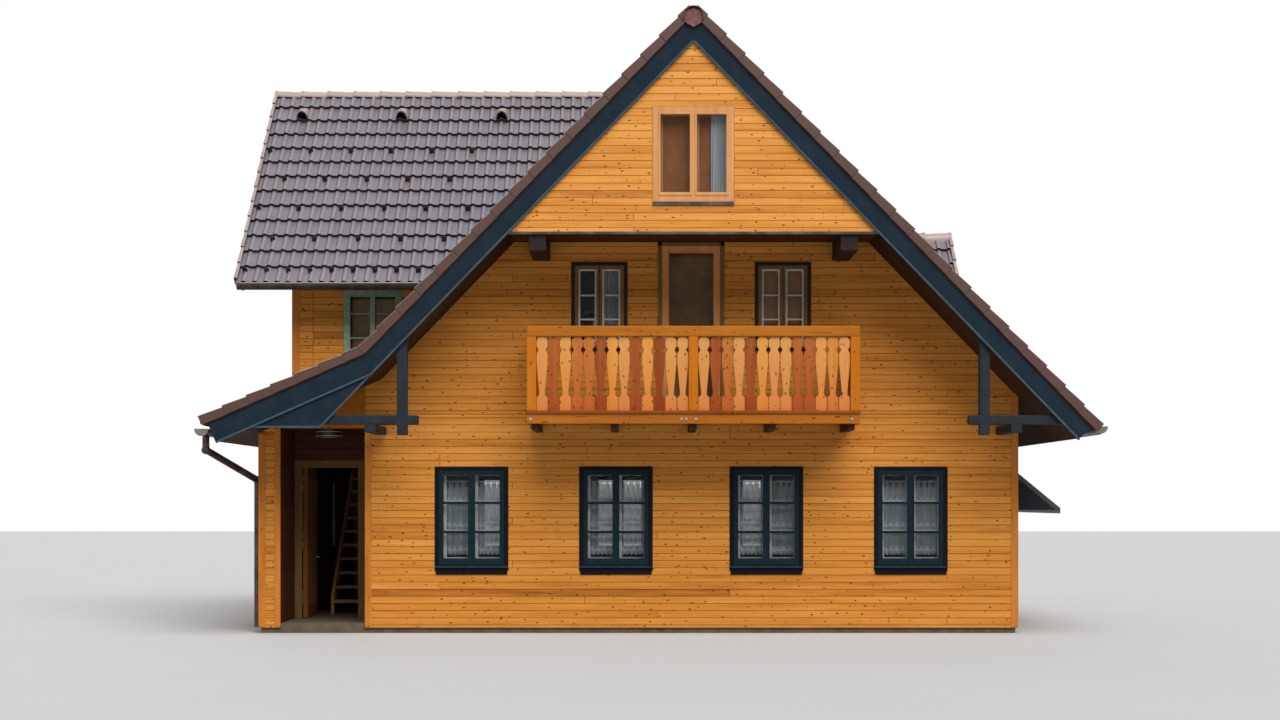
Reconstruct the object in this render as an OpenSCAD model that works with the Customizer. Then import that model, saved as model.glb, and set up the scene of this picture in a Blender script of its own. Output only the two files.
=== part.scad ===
/* [Main block] */
// Width of the main block over its outer wall faces
body_width = 8670; // [8400:10:9000]
// Depth of the house from the front wall face to the back wall face
body_depth = 6800; // [6600:10:7200]
// Thickness of the outer walls
wall_thick = 300; // [260:5:340]
// Height of the plinth that shows below the wall boards
plinth_height = 70; // [50:5:90]
// Set-back of the plinth from the wall face
plinth_inset = 20; // [5:1:40]
// Level of the ground floor above the ground
ground_level = 130; // [110:5:150]
// Height from the ground floor to the first floor
storey_height = 2780; // [2730:10:2830]
// Thickness of the first floor
first_thick = 250; // [180:10:280]
// Height from the first floor to the underside of the attic floor
upper_height = 2290; // [2270:5:2310]
// Thickness of the attic floor
attic_thick = 150; // [100:5:180]

/* [Main roof] */
// Pitch of the main roof
roof_pitch = 46; // [45:0.5:47]
// Height of the verge tile tops above the first floor, over the outer wall faces
knee_rise = 691; // [660:1:720]
// Reach of the verge beyond the front and back walls
verge_reach = 1110; // [1050:5:1180]
// Depth, square to the slope, from the verge tile tops to the tile field
tile_rise = 85; // [70:1:100]
// Depth from the verge tile tops to the upper edge of the verge board
fascia_top = 111; // [105:1:130]
// Depth from the verge tile tops to the soffit
soffit_depth = 312; // [280:1:325]
// Depth from the verge tile tops to the lower edge of the verge board
fascia_low = 336; // [330:1:350]
// Thickness of the verge boards
fascia_thick = 40; // [25:1:55]
// Width of the verge tiles on the slope's edge
verge_tile_width = 140; // [110:5:170]
// Distance by which the verge tiles stand proud of the verge boards
verge_tile_proud = 12; // [5:1:20]
// Reach of the right eave tiles beyond the right wall face
eave_reach = 837; // [790:1:880]
// Distance by which the tiles pass the end of the rafters
tile_nose = 50; // [35:1:70]

/* [Flared skirt] */
// Pitch of the flared skirt on the left
flare_pitch = 23.7; // [22:0.1:25]
// Distance of the change of pitch inside the left wall face
flare_in = 106; // [60:1:160]
// Extra depth of the soffit and verge board along the flare
flare_extra = 35; // [20:1:45]
// Reach of the skirt tiles beyond the outer wall face
skirt_reach = 530; // [480:5:580]
// Distance of the infill boards' lower edge below the first floor
infill_drop = 220; // [190:5:250]
// Thickness of the infill boards
infill_thick = 25; // [18:1:35]

/* [Porch and annex] */
// Width of the annex beside the main block
annex_width = 1405; // [1350:5:1460]
// Thickness of the annex wall
annex_wall_thick = 280; // [240:5:300]
// Depth of the open porch
porch_depth = 1040; // [980:5:1100]
// Thickness of the door wall and of the wing's walls
wing_wall = 280; // [240:5:300]
// Distance of the porch ceiling's underside below the first floor
porch_drop = 183; // [150:1:210]
// Thickness of the porch ceiling
ceiling_thick = 22; // [15:1:30]
// Thickness of the porch lintel
lintel_thick = 120; // [90:5:150]
// Diameter of the round porch lamp
lamp_dia = 320; // [260:5:360]
// Height of the porch lamp
lamp_height = 110; // [80:5:130]

/* [Entrance door] */
// Width of the doorway over its frame
door_frame_width = 980; // [940:5:1020]
// Height of the door frame
door_frame_height = 2188; // [2150:1:2210]
// Width of the door frame's posts and head
door_frame_face = 82; // [70:1:95]
// Cover of the door stop over the leaf's edge
door_stop = 20; // [16:1:26]
// Thickness of the door leaf
leaf_thick = 60; // [50:1:70]
// Clearance round the door leaf
leaf_gap = 8; // [7:0.5:10]
// Radius of the hinge barrels
barrel_r = 10; // [9:0.5:12]
// Height of one hinge barrel
barrel_height = 60; // [45:1:80]
// Radius of the hinge pins
pin_r = 5; // [4:0.5:6]
// Clearance between a hinge pin and its barrel
pin_gap = 0.3; // [0.2:0.1:0.5]
// Thickness of the hinge plates
hinge_plate = 4; // [3:0.5:6]
// Height of the door handle above the floor
handle_rise = 826; // [800:1:1050]
// Length of the door handle's grip
handle_length = 120; // [100:1:140]

/* [Wing] */
// Pitch of the wing's roof
wing_pitch = 46.8; // [46:0.1:48]
// Set-back of the wing's gable wall from the annex wall face
wing_set_in = 260; // [220:5:275]
// Distance of the wing's peak below the main roof's
wing_drop = 110; // [80:5:160]
// Reach of the wing's verge beyond its gable wall
wing_verge = 650; // [600:5:700]
// Reach of the wing's eaves beyond its side walls
wing_eave = 600; // [540:5:640]

/* [Dormer] */
// Height of the dormer's roof over its cheeks above the main roof at its face
dormer_rise = 483; // [440:1:520]
// Distance of the dormer's face from the main ridge line
dormer_face_x = 3600; // [3540:5:3660]
// Half the width of the dormer over its cheeks
dormer_half = 970; // [900:5:1000]
// Thickness of the dormer's walls
dormer_wall = 120; // [90:5:140]
// Depth from the dormer's verge tile tops to its soffit
dormer_soffit = 200; // [180:1:230]
// Reach of the dormer's eaves beyond its cheeks
dormer_eave = 180; // [150:5:220]
// Reach of the dormer's verge beyond its face
dormer_verge = 370; // [320:5:400]

/* [Ridge caps] */
// Diameter of the half round ridge caps
cap_dia = 230; // [210:2:250]
// Thickness of the ridge caps
cap_thick = 18; // [14:1:24]

/* [Gable panels] */
// Distance of the upper gable's lower edge below the attic floor
gable_drop = 14; // [5:1:20]
// Thickness of the upper gable
gable_thick = 200; // [160:5:240]
// Height of the flashing along the gable's lower edge
flashing_height = 32; // [24:1:40]
// Distance by which that flashing and the sills stand proud
flashing_proud = 25; // [15:1:35]
// Height of the sills and of the flashing below the attic windows
sill_height = 50; // [35:1:55]

/* [Windows] */
// Distance of the inner ground windows from the centre
ground_window_inner = 1000; // [950:5:1050]
// Distance of the outer ground windows from the centre
ground_window_outer = 2920; // [2850:5:2980]
// Distance of the side walls' ground windows from the centre
side_window_y = 1450; // [1400:5:1500]
// Width of a ground window over its casing
ground_window_width = 950; // [900:5:1000]
// Height of the ground windows' lower edge above the floor
ground_sill = 700; // [660:5:740]
// Height of a ground window over its casing
ground_window_height = 1370; // [1320:5:1400]
// Distance of the upper windows from the centre
upper_window_x = 1220; // [1180:5:1260]
// Width of an upper window over its casing
upper_window_width = 745; // [700:5:780]
// Height of the upper windows' lower edge above the first floor
upper_sill = 840; // [800:5:880]
// Height of an upper window over its casing
upper_window_height = 1185; // [1140:5:1195]
// Width of the attic windows over their frame
attic_window_width = 1040; // [1000:5:1080]
// Height of the attic windows' lower edge above the gable's
attic_sill = 385; // [355:1:405]
// Height of the attic windows over their frame
attic_window_height = 1213; // [1170:1:1230]
// Distance of the wing window's outer jamb from the wing's gable wall face
wing_window_in = 700; // [660:5:740]
// Width of the wing window over its frame
wing_window_width = 800; // [760:5:820]
// Distance of the wing window's top below the soffit at the wing's wall
wing_window_head = 339; // [310:1:370]
// Height of the wing window's raked sill above the skirt's tiles
wing_window_lift = 90; // [70:5:110]
// Width of the dormer window
dormer_window_width = 840; // [780:5:880]
// Height of the dormer window
dormer_window_height = 620; // [580:5:640]
// Height of the dormer window's sill above the roof
dormer_window_lift = 60; // [40:5:80]
// Width of a window's casing, frame and sash together
frame_face = 90; // [80:1:105]
// Depth of the window frames
frame_depth = 90; // [70:1:110]
// Width of the window's middle post
mullion = 70; // [60:1:85]
// Distance by which the casings stand proud of the boards
casing_proud = 15; // [8:1:22]
// Thickness of the glass units
glass_thick = 24; // [16:1:30]

/* [Balcony] */
// Half the width of the balcony over its posts
balcony_half = 2125; // [2080:5:2170]
// Step from the first floor down to the balcony boards
balcony_step = 40; // [20:5:60]
// Thickness of the balcony boards
deck_thick = 45; // [35:1:55]
// Height of the balcony's beams
beam_height = 127; // [110:1:140]
// Thickness of the balcony's beams
beam_thick = 60; // [50:1:75]
// Depth of the balcony joists below the boards
joist_height = 160; // [150:1:180]
// Width of a balcony joist
joist_width = 90; // [70:5:110]
// Number of balcony joists
joist_count = 5; // [4:1:7]
// Height of the ledge that carries the balusters
ledge_height = 40; // [30:1:50]
// Distance by which the ledge stands proud of the beam
ledge_proud = 20; // [10:1:30]
// Height of the handrail's top above the balcony boards
guard_height = 1121; // [1080:1:1160]
// Height of the handrail
rail_height = 136; // [120:1:150]
// Thickness of the handrail
rail_thick = 80; // [65:1:95]
// Width of a balcony post
post_width = 120; // [100:5:130]
// Thickness of the sawn balusters
baluster_thick = 28; // [22:1:34]
// Number of balusters in one bay of the front
bay_count = 13; // [11:1:15]
// Number of balusters on one side of the balcony
side_count = 6; // [5:1:7]
// Gap between two balusters at their widest
baluster_gap = 9; // [6:1:14]
// Width of the balcony door over its frame
balcony_door_width = 830; // [800:5:860]
// Distance of the balcony door's top below the attic floor
balcony_door_drop = 23; // [16:1:50]
// Width of the balcony door's frame and sash together
balcony_door_face = 118; // [100:1:135]

/* [Bracket frames and purlins] */
// Distance of the bracket post's outer face from the wall corner
bracket_in = 555; // [520:5:590]
// Width of the bracket post
bracket_post = 130; // [115:5:145]
// Length of the post below the tie beam
bracket_tail = 135; // [115:5:175]
// Distance of the tie beam's underside below the first floor
tie_drop = 175; // [150:5:190]
// Height of the tie beam
tie_height = 115; // [100:1:125]
// Length of the tie beam inside the post
tie_tail = 140; // [110:5:170]
// Thickness of the bracket timbers
bracket_thick = 120; // [100:5:140]
// Distance of the eave purlin's outer face from the wall corner
eave_purlin_in = 145; // [120:5:170]
// Width of the eave purlin ends
eave_purlin_width = 140; // [120:5:160]
// Height of the eave purlin ends
eave_purlin_height = 100; // [90:5:125]
// Distance of the mid purlins inside the attic floor's edges
mid_purlin_in = 257; // [240:1:270]
// Width of the mid purlins
mid_purlin_width = 220; // [190:5:230]
// Height of the mid purlins
mid_purlin_height = 250; // [230:1:260]

/* [Gutters and side canopy] */
// Width of the half round gutters
gutter_width = 174; // [160:2:190]
// Thickness of the gutter metal
gutter_thick = 6; // [4:1:8]
// Distance of the left and wing gutters' middle inside the tile ends
gutter_in = 8; // [0:1:20]
// Distance of the right gutter's middle beyond the tile ends
right_gutter_out = 11; // [5:1:20]
// Depth of the left gutter's rim below the tile tops at the eave
left_gutter_drop = 140; // [120:5:160]
// Depth of the right gutter's rim below the tile tops at the eave
right_gutter_drop = 29; // [20:1:40]
// Depth of the wing gutters' rim below the tile tops at the eave
wing_gutter_drop = 128; // [110:1:145]
// Number of gutter hooks
hook_count = 6; // [4:1:9]
// Diameter of the downpipe
downpipe_dia = 90; // [80:1:100]
// Gap between the downpipe and the wall
pipe_gap = 20; // [10:1:30]
// Fall angle of the side canopy
canopy_pitch = 39.5; // [38:0.5:41]
// Distance of the canopy's top edge below the first floor
canopy_below = 526; // [490:1:550]
// Projection of the canopy from the wall face
canopy_reach = 880; // [820:5:900]
// Length of the canopy along the wall
canopy_length = 4000; // [3700:10:4200]
// Thickness of the canopy
canopy_thick = 60; // [45:1:75]
// Thickness of the canopy's triangular brackets
canopy_bracket = 60; // [45:5:80]

/* [Hall stair] */
// Number of risers in the flight
riser_count = 14; // [13:1:15]
// Length of the landing behind the flight
stair_landing = 595; // [570:5:620]
// Overhang of a tread's nosing over the tread below
tread_nosing = 35; // [25:1:45]
// Thickness of a tread
tread_thick = 40; // [32:1:48]
// Width of the flight between its strings
stair_width = 760; // [720:5:800]
// Distance of the flight's left string from the annex wall
stair_left = 330; // [310:5:350]
// Distance from the door wall to the first tread
stair_start = 800; // [790:5:860]
// Thickness of the stair strings
string_thick = 45; // [35:1:55]

/* [Hidden] */
$fn = 48;

// Distance by which a cutting shape passes the face that it cuts
past = 10;
// Seat between pieces that lie on each other along a slope or a curve
seat = 0.3;
// Open joint at a mitre
mitre = 2;
// Roundness of small parts
small_fn = 24;

half_w = body_width / 2;
half_d = body_depth / 2;
first_level = ground_level + storey_height;
attic_under = first_level + upper_height;
gable_low = attic_under - gable_drop;
inner_w = half_w - wall_thick;
inner_d = half_d - wall_thick;
verge_y = half_d + verge_reach;
annex_x = half_w + annex_width;
annex_in = annex_x - annex_wall_thick;
wing_half = half_d - porch_depth;
wing_in = wing_half - wing_wall;
wing_x = annex_x - wing_set_in;
wing_end = wing_x + wing_verge;
wing_eave_y = wing_half + wing_eave;
dormer_eave_y = dormer_half + dormer_eave;
dormer_end = dormer_face_x + dormer_verge;
right_end = half_w + eave_reach;
left_end = annex_x + skirt_reach;
main_rise = tan(roof_pitch);
flare_rise = tan(flare_pitch);
flare_start = half_w - flare_in;

// Heights at which the tops of the verge tiles would meet on each gable
ridge_peak = first_level + knee_rise + half_w * main_rise;
wing_peak = ridge_peak - wing_drop;
dormer_peak = ridge_peak + dormer_rise - (dormer_face_x - dormer_half) * main_rise;

// Height of a gable roof's plane, a depth below its verge tile tops
function plane_z(peak, pitch, depth, run) = peak - depth / cos(pitch) - tan(pitch) * abs(run);
function main_z(depth, run) = plane_z(ridge_peak, roof_pitch, depth, run);
function wing_z(depth, run) = plane_z(wing_peak, wing_pitch, depth, run);
function dormer_z(depth, run) = plane_z(dormer_peak, roof_pitch, depth, run);
// Run at which a plane of the main roof comes down to a height
function main_run(depth, z) = (ridge_peak - depth / cos(roof_pitch) - z) / main_rise;

// The flared skirt's plane meets the main roof's at flare_start
flare_peak = ridge_peak - (main_rise - flare_rise) * flare_start;
function flare_z(depth, run) = flare_peak - depth / cos(flare_pitch) - flare_rise * abs(run);
// Run at which a plane of the main roof meets one of the skirt
function kink(depth, flare_depth) =
  (ridge_peak - depth / cos(roof_pitch) - flare_peak + flare_depth / cos(flare_pitch))
  / (main_rise - flare_rise);
// Depth of what stands below the soffit and just clears it
wall_depth = soffit_depth + seat;
// Heights over the left half, on whichever pitch is there
function left_soffit(run) = max(main_z(wall_depth, run), flare_z(wall_depth + flare_extra, run));
function left_top(run) = max(main_z(0, run), flare_z(0, run));
soffit_kink = kink(wall_depth, wall_depth + flare_extra);
// Depth of the verge boards' lower edge along the flare
flare_low = fascia_low + flare_extra;

// Levels of what stands in the walls or is fixed to them
infill_level = first_level - infill_drop;
porch_head = first_level - porch_drop;
door_frame_top = ground_level + door_frame_height;
handle_level = ground_level + handle_rise;
ground_window_low = ground_level + ground_sill;
upper_window_low = first_level + upper_sill;
attic_window_low = gable_low + attic_sill;
wing_window_left = wing_x - wing_window_in;
wing_window_top = wing_z(soffit_depth, wing_half) - wing_window_head;
balcony_level = first_level - balcony_step;
rail_top = balcony_level + guard_height;
balcony_door_top = attic_under - balcony_door_drop;
tie_level = first_level - tie_drop;
bracket_foot = tie_level - bracket_tail;
mid_purlin_low = attic_under - mid_purlin_height;
mid_purlin_x = main_run(wall_depth, attic_under) - mid_purlin_in - mid_purlin_width;
canopy_level = first_level - canopy_below;

wood = [0.80, 0.50, 0.20];
dark_wood = [0.62, 0.34, 0.14];
metal_blue = [0.16, 0.21, 0.25];
tile_brown = [0.45, 0.38, 0.37];

// Blocks placed by their corners, and outlines drawn out along an axis
module block(x0, x1, y0, y1, z0, z1) {
  translate([x0, y0, z0]) cube([x1 - x0, y1 - y0, z1 - z0]);
}
module along_y(y0, y1) {
  translate([0, y1, 0]) rotate([90, 0, 0]) linear_extrude(y1 - y0) children();
}
module along_x(x0, x1) {
  translate([x0, 0, 0]) rotate([90, 0, 90]) linear_extrude(x1 - x0) children();
}
module front_and_back() {
  children();
  mirror([0, 1, 0]) children();
}
module left_and_right() {
  children();
  mirror([1, 0, 0]) children();
}

// Run at which a square-cut tile edge and the rafters behind it end, at a depth
function tile_end(end, pitch, depth) = end - depth * sin(pitch);
function rafter_end(end, pitch, depth) = tile_end(end, pitch, depth) - tile_nose * cos(pitch);

// One slope of a roof: tiles that end in a thin nose, over rafters with a square-cut end
module slope_outline(peak, pitch, start, end, top, foot) {
  tip = tile_end(end, pitch, top);
  nose = tile_end(end, pitch, fascia_top);
  low = rafter_end(end, pitch, fascia_top);
  drop = low - rafter_end(end, pitch, foot);
  polygon([
    [start, plane_z(peak, pitch, top, start)],
    [tip, plane_z(peak, pitch, top, tip)],
    [nose, plane_z(peak, pitch, fascia_top, nose)],
    [low, plane_z(peak, pitch, fascia_top, low)],
    [low - drop, plane_z(peak, pitch, foot, low - drop)],
    [start, plane_z(peak, pitch, foot, start)]
  ]);
}

// The left slope of the main roof, which flares over the annex
module left_outline(top, foot, flare_foot) {
  tip = tile_end(left_end, flare_pitch, top);
  nose = tile_end(left_end, flare_pitch, fascia_top);
  low = rafter_end(left_end, flare_pitch, fascia_top);
  drop = low - rafter_end(left_end, flare_pitch, flare_foot);
  polygon([
    [0, main_z(top, 0)],
    [-kink(top, top), main_z(top, kink(top, top))],
    [-tip, flare_z(top, tip)],
    [-nose, flare_z(fascia_top, nose)],
    [-low, flare_z(fascia_top, low)],
    [drop - low, flare_z(flare_foot, low - drop)],
    [-kink(foot, flare_foot), main_z(foot, kink(foot, flare_foot))],
    [0, main_z(foot, 0)]
  ]);
}

// Everything below the main roof's tile field, as a solid to cut with
module under_main_tiles(lift = 0) {
  along_y(-verge_y, verge_y) polygon([
    [0, main_z(tile_rise, 0) + lift],
    [-kink(tile_rise, tile_rise), main_z(tile_rise, kink(tile_rise, tile_rise)) + lift],
    [-left_end - wing_verge, flare_z(tile_rise, left_end + wing_verge) + lift],
    [-left_end - wing_verge, 0],
    [right_end, 0],
    [right_end, main_z(tile_rise, right_end) + lift]
  ]);
}

// Everything below the main roof's soffit
module under_main_soffit(lift = 0) {
  along_y(-verge_y, verge_y) polygon([
    [0, main_z(soffit_depth, 0) + lift],
    [-soffit_kink, left_soffit(soffit_kink) + lift],
    [-left_end, left_soffit(left_end) + lift],
    [-left_end, 0],
    [right_end, 0],
    [right_end, main_z(soffit_depth, right_end) + lift]
  ]);
}

// Everything below a cross gable's plane, no wider than half on either side
module under_cross(peak, pitch, depth, half, x0, x1) {
  along_x(x0, x1) polygon([
    [-half, 0], [half, 0],
    [half, plane_z(peak, pitch, depth, half)],
    [0, plane_z(peak, pitch, depth, 0)],
    [-half, plane_z(peak, pitch, depth, half)]
  ]);
}

// Foundation, with the raised floor inside the walls
module ground_slab() {
  color([0.22, 0.22, 0.24]) difference() {
    block(-annex_x + plinth_inset, half_w - plinth_inset,
      -half_d + plinth_inset, half_d - plinth_inset, 0, ground_level);
    difference() {
      block(-annex_x, half_w, -half_d, half_d, plinth_height, ground_level + past);
      block(-inner_w, inner_w, -inner_d, inner_d, 0, ground_level + past);
      block(-annex_in, -inner_w, -wing_in, inner_d, 0, ground_level + past);
      block(-annex_in, -half_w, -half_d + plinth_inset, -wing_in, 0, ground_level + past);
    }
  }
}

// Places of the windows, so that each hole, frame and pane agrees

module at_front(x) {
  translate([x, -half_d, 0]) children();
}
module at_back(x) {
  translate([x, half_d, 0]) rotate([0, 0, 180]) children();
}
module at_right(y) {
  translate([half_w, y, 0]) rotate([0, 0, 90]) children();
}
module at_annex(y) {
  translate([-annex_x, y, 0]) rotate([0, 0, -90]) children();
}
module at_wing_gable(y) {
  translate([-wing_x, y, 0]) rotate([0, 0, -90]) children();
}

module at_ground_windows() {
  for (x = [-ground_window_outer, -ground_window_inner, ground_window_inner, ground_window_outer]) {
    at_front(x) children();
    at_back(x) children();
  }
  for (y = [-side_window_y, side_window_y]) {
    at_right(y) children();
    at_annex(y) children();
  }
}

module at_upper_windows() {
  for (x = [-upper_window_x, upper_window_x]) {
    at_front(x) children();
    at_back(x) children();
    at_wing_gable(x) children();
  }
  at_back(0) children();
}

module at_dormer_window() {
  translate([dormer_face_x, 0, 0]) rotate([0, 0, 90]) children();
}

// Opening for a window that stands at the origin, in a wall that runs back along +Y
module opening(width, low, height, depth) {
  block(-width / 2, width / 2, -past, depth + past, low, low + height);
}

// Frame with a middle post, its face proud of the wall and its pane behind the post
module frame(width, low, height) {
  difference() {
    block(-width / 2, width / 2, -casing_proud, frame_depth, low, low + height);
    block(-width / 2 + frame_face, -mullion / 2, -casing_proud - past, frame_depth + past,
      low + frame_face, low + height - frame_face);
    block(mullion / 2, width / 2 - frame_face, -casing_proud - past, frame_depth + past,
      low + frame_face, low + height - frame_face);
    block(-width / 2 + frame_face, width / 2 - frame_face, frame_depth - glass_thick, frame_depth + past,
      low + frame_face, low + height - frame_face);
  }
}

module pane(width, low, height) {
  block(-width / 2 + frame_face, width / 2 - frame_face, frame_depth - glass_thick, frame_depth,
    low + frame_face, low + height - frame_face);
}

module ground_openings() {
  at_ground_windows() opening(ground_window_width, ground_window_low, ground_window_height, wall_thick);
}
module upper_openings() {
  at_upper_windows() opening(upper_window_width, upper_window_low, upper_window_height, wall_thick);
}

// Walls of the ground floor

module front_wall_ground() {
  color(wood) difference() {
    block(-half_w, half_w, -half_d, -inner_d, plinth_height, first_level);
    ground_openings();
  }
}

module back_wall_ground() {
  color(wood) difference() {
    along_y(inner_d, half_d) polygon([
      [half_w, plinth_height], [half_w, first_level], [-half_w, first_level],
      [-half_w, left_soffit(half_w)], [-annex_x, left_soffit(annex_x)], [-annex_x, plinth_height]
    ]);
    ground_openings();
  }
}

module right_wall() {
  color(wood) difference() {
    along_y(-inner_d, inner_d) polygon([
      [inner_w, plinth_height], [half_w, plinth_height],
      [half_w, main_z(wall_depth, half_w)], [inner_w, main_z(wall_depth, inner_w)]
    ]);
    ground_openings();
  }
}

module left_wall_outline(low) {
  polygon([
    [-half_w, low], [-inner_w, low], [-inner_w, left_soffit(inner_w)],
    [-soffit_kink, left_soffit(soffit_kink)], [-half_w, left_soffit(half_w)]
  ]);
}

// Beside the porch the left wall comes down to the plinth, elsewhere it stands on the first floor
module left_wall() {
  color(wood) {
    along_y(-inner_d, -wing_in) left_wall_outline(plinth_height);
    along_y(wing_half, inner_d) left_wall_outline(first_level);
  }
}

module annex_wall() {
  color(wood) difference() {
    along_y(-half_d, inner_d) polygon([
      [-annex_x, plinth_height], [-annex_in, plinth_height],
      [-annex_in, left_soffit(annex_in)], [-annex_x, left_soffit(annex_x)]
    ]);
    ground_openings();
  }
}

// Wall that holds the entrance door, in the plane of the wing's front wall
door_right = -annex_in + door_frame_width;

module door_wall_side() {
  color(dark_wood) block(door_right, -half_w, -wing_half, -wing_in, ground_level, door_frame_top);
}

module door_wall_top() {
  color(dark_wood) block(-annex_in, -half_w, -wing_half, -wing_in, door_frame_top, first_level);
}

module porch_ceiling() {
  color(dark_wood) block(-annex_in, -half_w, -half_d + lintel_thick, -wing_half,
    porch_head, porch_head + ceiling_thick);
}

// Lintel over the porch's front, with the boarded triangle that stands on it
module porch_lintel() {
  color(wood) along_y(-half_d, -half_d + lintel_thick) polygon([
    [-annex_in, porch_head], [-half_w, porch_head],
    [-half_w, left_soffit(half_w)], [-annex_in, left_soffit(annex_in)]
  ]);
}

// Upper walls, whose tops follow the soffit and hold the mid purlins
module upper_wall_outline() {
  top_run = main_run(wall_depth, attic_under);
  difference() {
    polygon([
      [-half_w, first_level], [-half_w, left_soffit(half_w)],
      [-soffit_kink, left_soffit(soffit_kink)], [-top_run, attic_under],
      [top_run, attic_under], [half_w, main_z(wall_depth, half_w)], [half_w, first_level]
    ]);
    for (side = [0, 1]) mirror([side, 0])
      translate([mid_purlin_x, mid_purlin_low])
        square([mid_purlin_width, attic_under - mid_purlin_low + past]);
  }
}

module front_wall_upper() {
  color(dark_wood) difference() {
    along_y(-half_d, -inner_d) upper_wall_outline();
    upper_openings();
    at_front(0) opening(balcony_door_width, first_level - past, balcony_door_top - first_level + past,
      wall_thick);
  }
}

module back_wall_upper() {
  color(dark_wood) difference() {
    along_y(inner_d, half_d) upper_wall_outline();
    upper_openings();
  }
}

// The raked window in the wing's side walls follows the skirt and the slope below it
wing_window_right = wing_window_left - wing_window_width;
function rake_z(run, lift) = left_top(run) + wing_window_lift + lift;

module wing_window_outline(inset, lift) {
  polygon([
    [inset - wing_window_left, rake_z(wing_window_left, lift)],
    [-flare_start, rake_z(flare_start, lift)],
    [-wing_window_right - inset, rake_z(wing_window_right + inset, lift)],
    [-wing_window_right - inset, wing_window_top - inset],
    [inset - wing_window_left, wing_window_top - inset]
  ]);
}

module wing_walls() {
  color(wood) front_and_back() intersection() {
    difference() {
      block(-wing_x + wing_wall, 0, -wing_half, -wing_in, first_level, wing_peak);
      under_main_soffit(seat);
      along_y(-wing_half - past, -wing_in + past) wing_window_outline(0, 0);
    }
    under_cross(wing_peak, wing_pitch, wall_depth, wing_half, -wing_x, 0);
  }
}

module wing_gable_wall() {
  color(wood) difference() {
    intersection() {
      block(-wing_x, -wing_x + wing_wall, -wing_half, wing_half, first_level, wing_peak);
      under_cross(wing_peak, wing_pitch, wall_depth, wing_half, -wing_x, 0);
    }
    upper_openings();
  }
}

// First floor, which runs on into the wing, with the well of the hall stair
stair_x0 = -annex_in + stair_left;
stair_x1 = stair_x0 + stair_width + 2 * string_thick;
stair_y0 = -wing_in + stair_start;
riser = (first_level - ground_level) / riser_count;
tread_count = riser_count - 1;
stair_y1 = wing_in - stair_landing;
tread_going = (stair_y1 - stair_y0 - tread_nosing) / tread_count;
tread_depth = tread_going + tread_nosing;
// Headroom of two metres is kept below the edge of the well
well_y0 = stair_y0 + tread_going;
well_gap = 15;

module first_floor() {
  color([0.72, 0.56, 0.36]) difference() {
    union() {
      block(-inner_w, inner_w, -inner_d, inner_d, first_level - first_thick, first_level);
      block(-half_w, -inner_w + past, -wing_in, inner_d, first_level - first_thick, first_level);
      block(-annex_in, -half_w + past, -wing_in, wing_in, first_level - first_thick, first_level);
    }
    block(stair_x0 - well_gap, stair_x1 + well_gap, well_y0, stair_y1 + well_gap, 0, first_level + past);
  }
}

module attic_floor() {
  low_run = main_run(wall_depth, attic_under);
  top_run = main_run(wall_depth, attic_under + attic_thick);
  color([0.72, 0.56, 0.36]) along_y(-panel_in, panel_in) polygon([
    [-low_run, attic_under], [low_run, attic_under],
    [top_run, attic_under + attic_thick], [-top_run, attic_under + attic_thick]
  ]);
}

// Open flight: treads housed between two raking strings
module stair_treads() {
  color([0.66, 0.46, 0.26]) for (step = [1 : tread_count])
    translate([stair_x0 + string_thick, stair_y0 + (step - 1) * tread_going,
      ground_level + step * riser - tread_thick])
      cube([stair_width, tread_depth, tread_thick]);
}

module stair_strings() {
  rise = riser / tread_going;
  below = 230;
  above = 60;
  start_z = ground_level + riser;
  end_z = start_z + (stair_y1 - stair_y0) * rise;
  color([0.55, 0.38, 0.22]) for (x = [stair_x0, stair_x1 - string_thick])
    along_x(x, x + string_thick) polygon([
      [stair_y0, ground_level],
      [stair_y0 + (below - riser) / rise, ground_level],
      [stair_y1, end_z - below],
      [stair_y1, first_level],
      [stair_y0 + (first_level - start_z - above) / rise, first_level],
      [stair_y0, start_z + above]
    ]);
}

// Roofs

// The strip of verge tiles stands proud of the tile field at each verge
cap_r = cap_dia / 2;
cap_run = cap_r + seat;

module roof_left() {
  color(tile_brown) difference() {
    union() {
      along_y(-verge_y + fascia_thick, verge_y - fascia_thick)
        left_outline(tile_rise, soffit_depth, soffit_depth + flare_extra);
      front_and_back() along_y(-verge_y - verge_tile_proud, -verge_y - verge_tile_proud + verge_tile_width)
        left_verge_tiles();
    }
    under_cross(wing_peak, wing_pitch, soffit_depth, wing_half, -wing_x, past);
  }
}

module left_verge_tiles() {
  nose = tile_end(left_end, flare_pitch, fascia_top);
  polygon([
    [-cap_run, main_z(0, cap_run)],
    [-flare_start, main_z(0, flare_start)],
    [-left_end, flare_z(0, left_end)],
    [-nose, flare_z(fascia_top, nose)],
    [-kink(fascia_top, fascia_top), main_z(fascia_top, kink(fascia_top, fascia_top))],
    [-cap_run, main_z(fascia_top, cap_run)]
  ]);
}

module right_verge_tiles() {
  nose = tile_end(right_end, roof_pitch, fascia_top);
  polygon([
    [cap_run, main_z(0, cap_run)], [right_end, main_z(0, right_end)],
    [nose, main_z(fascia_top, nose)], [cap_run, main_z(fascia_top, cap_run)]
  ]);
}

module roof_right() {
  color(tile_brown) difference() {
    union() {
      along_y(-verge_y + fascia_thick, verge_y - fascia_thick)
        slope_outline(ridge_peak, roof_pitch, 0, right_end, tile_rise, soffit_depth);
      front_and_back() along_y(-verge_y - verge_tile_proud, -verge_y - verge_tile_proud + verge_tile_width)
        right_verge_tiles();
    }
    under_cross(dormer_peak, roof_pitch, dormer_soffit, dormer_half, -past, dormer_face_x);
  }
}

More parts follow.
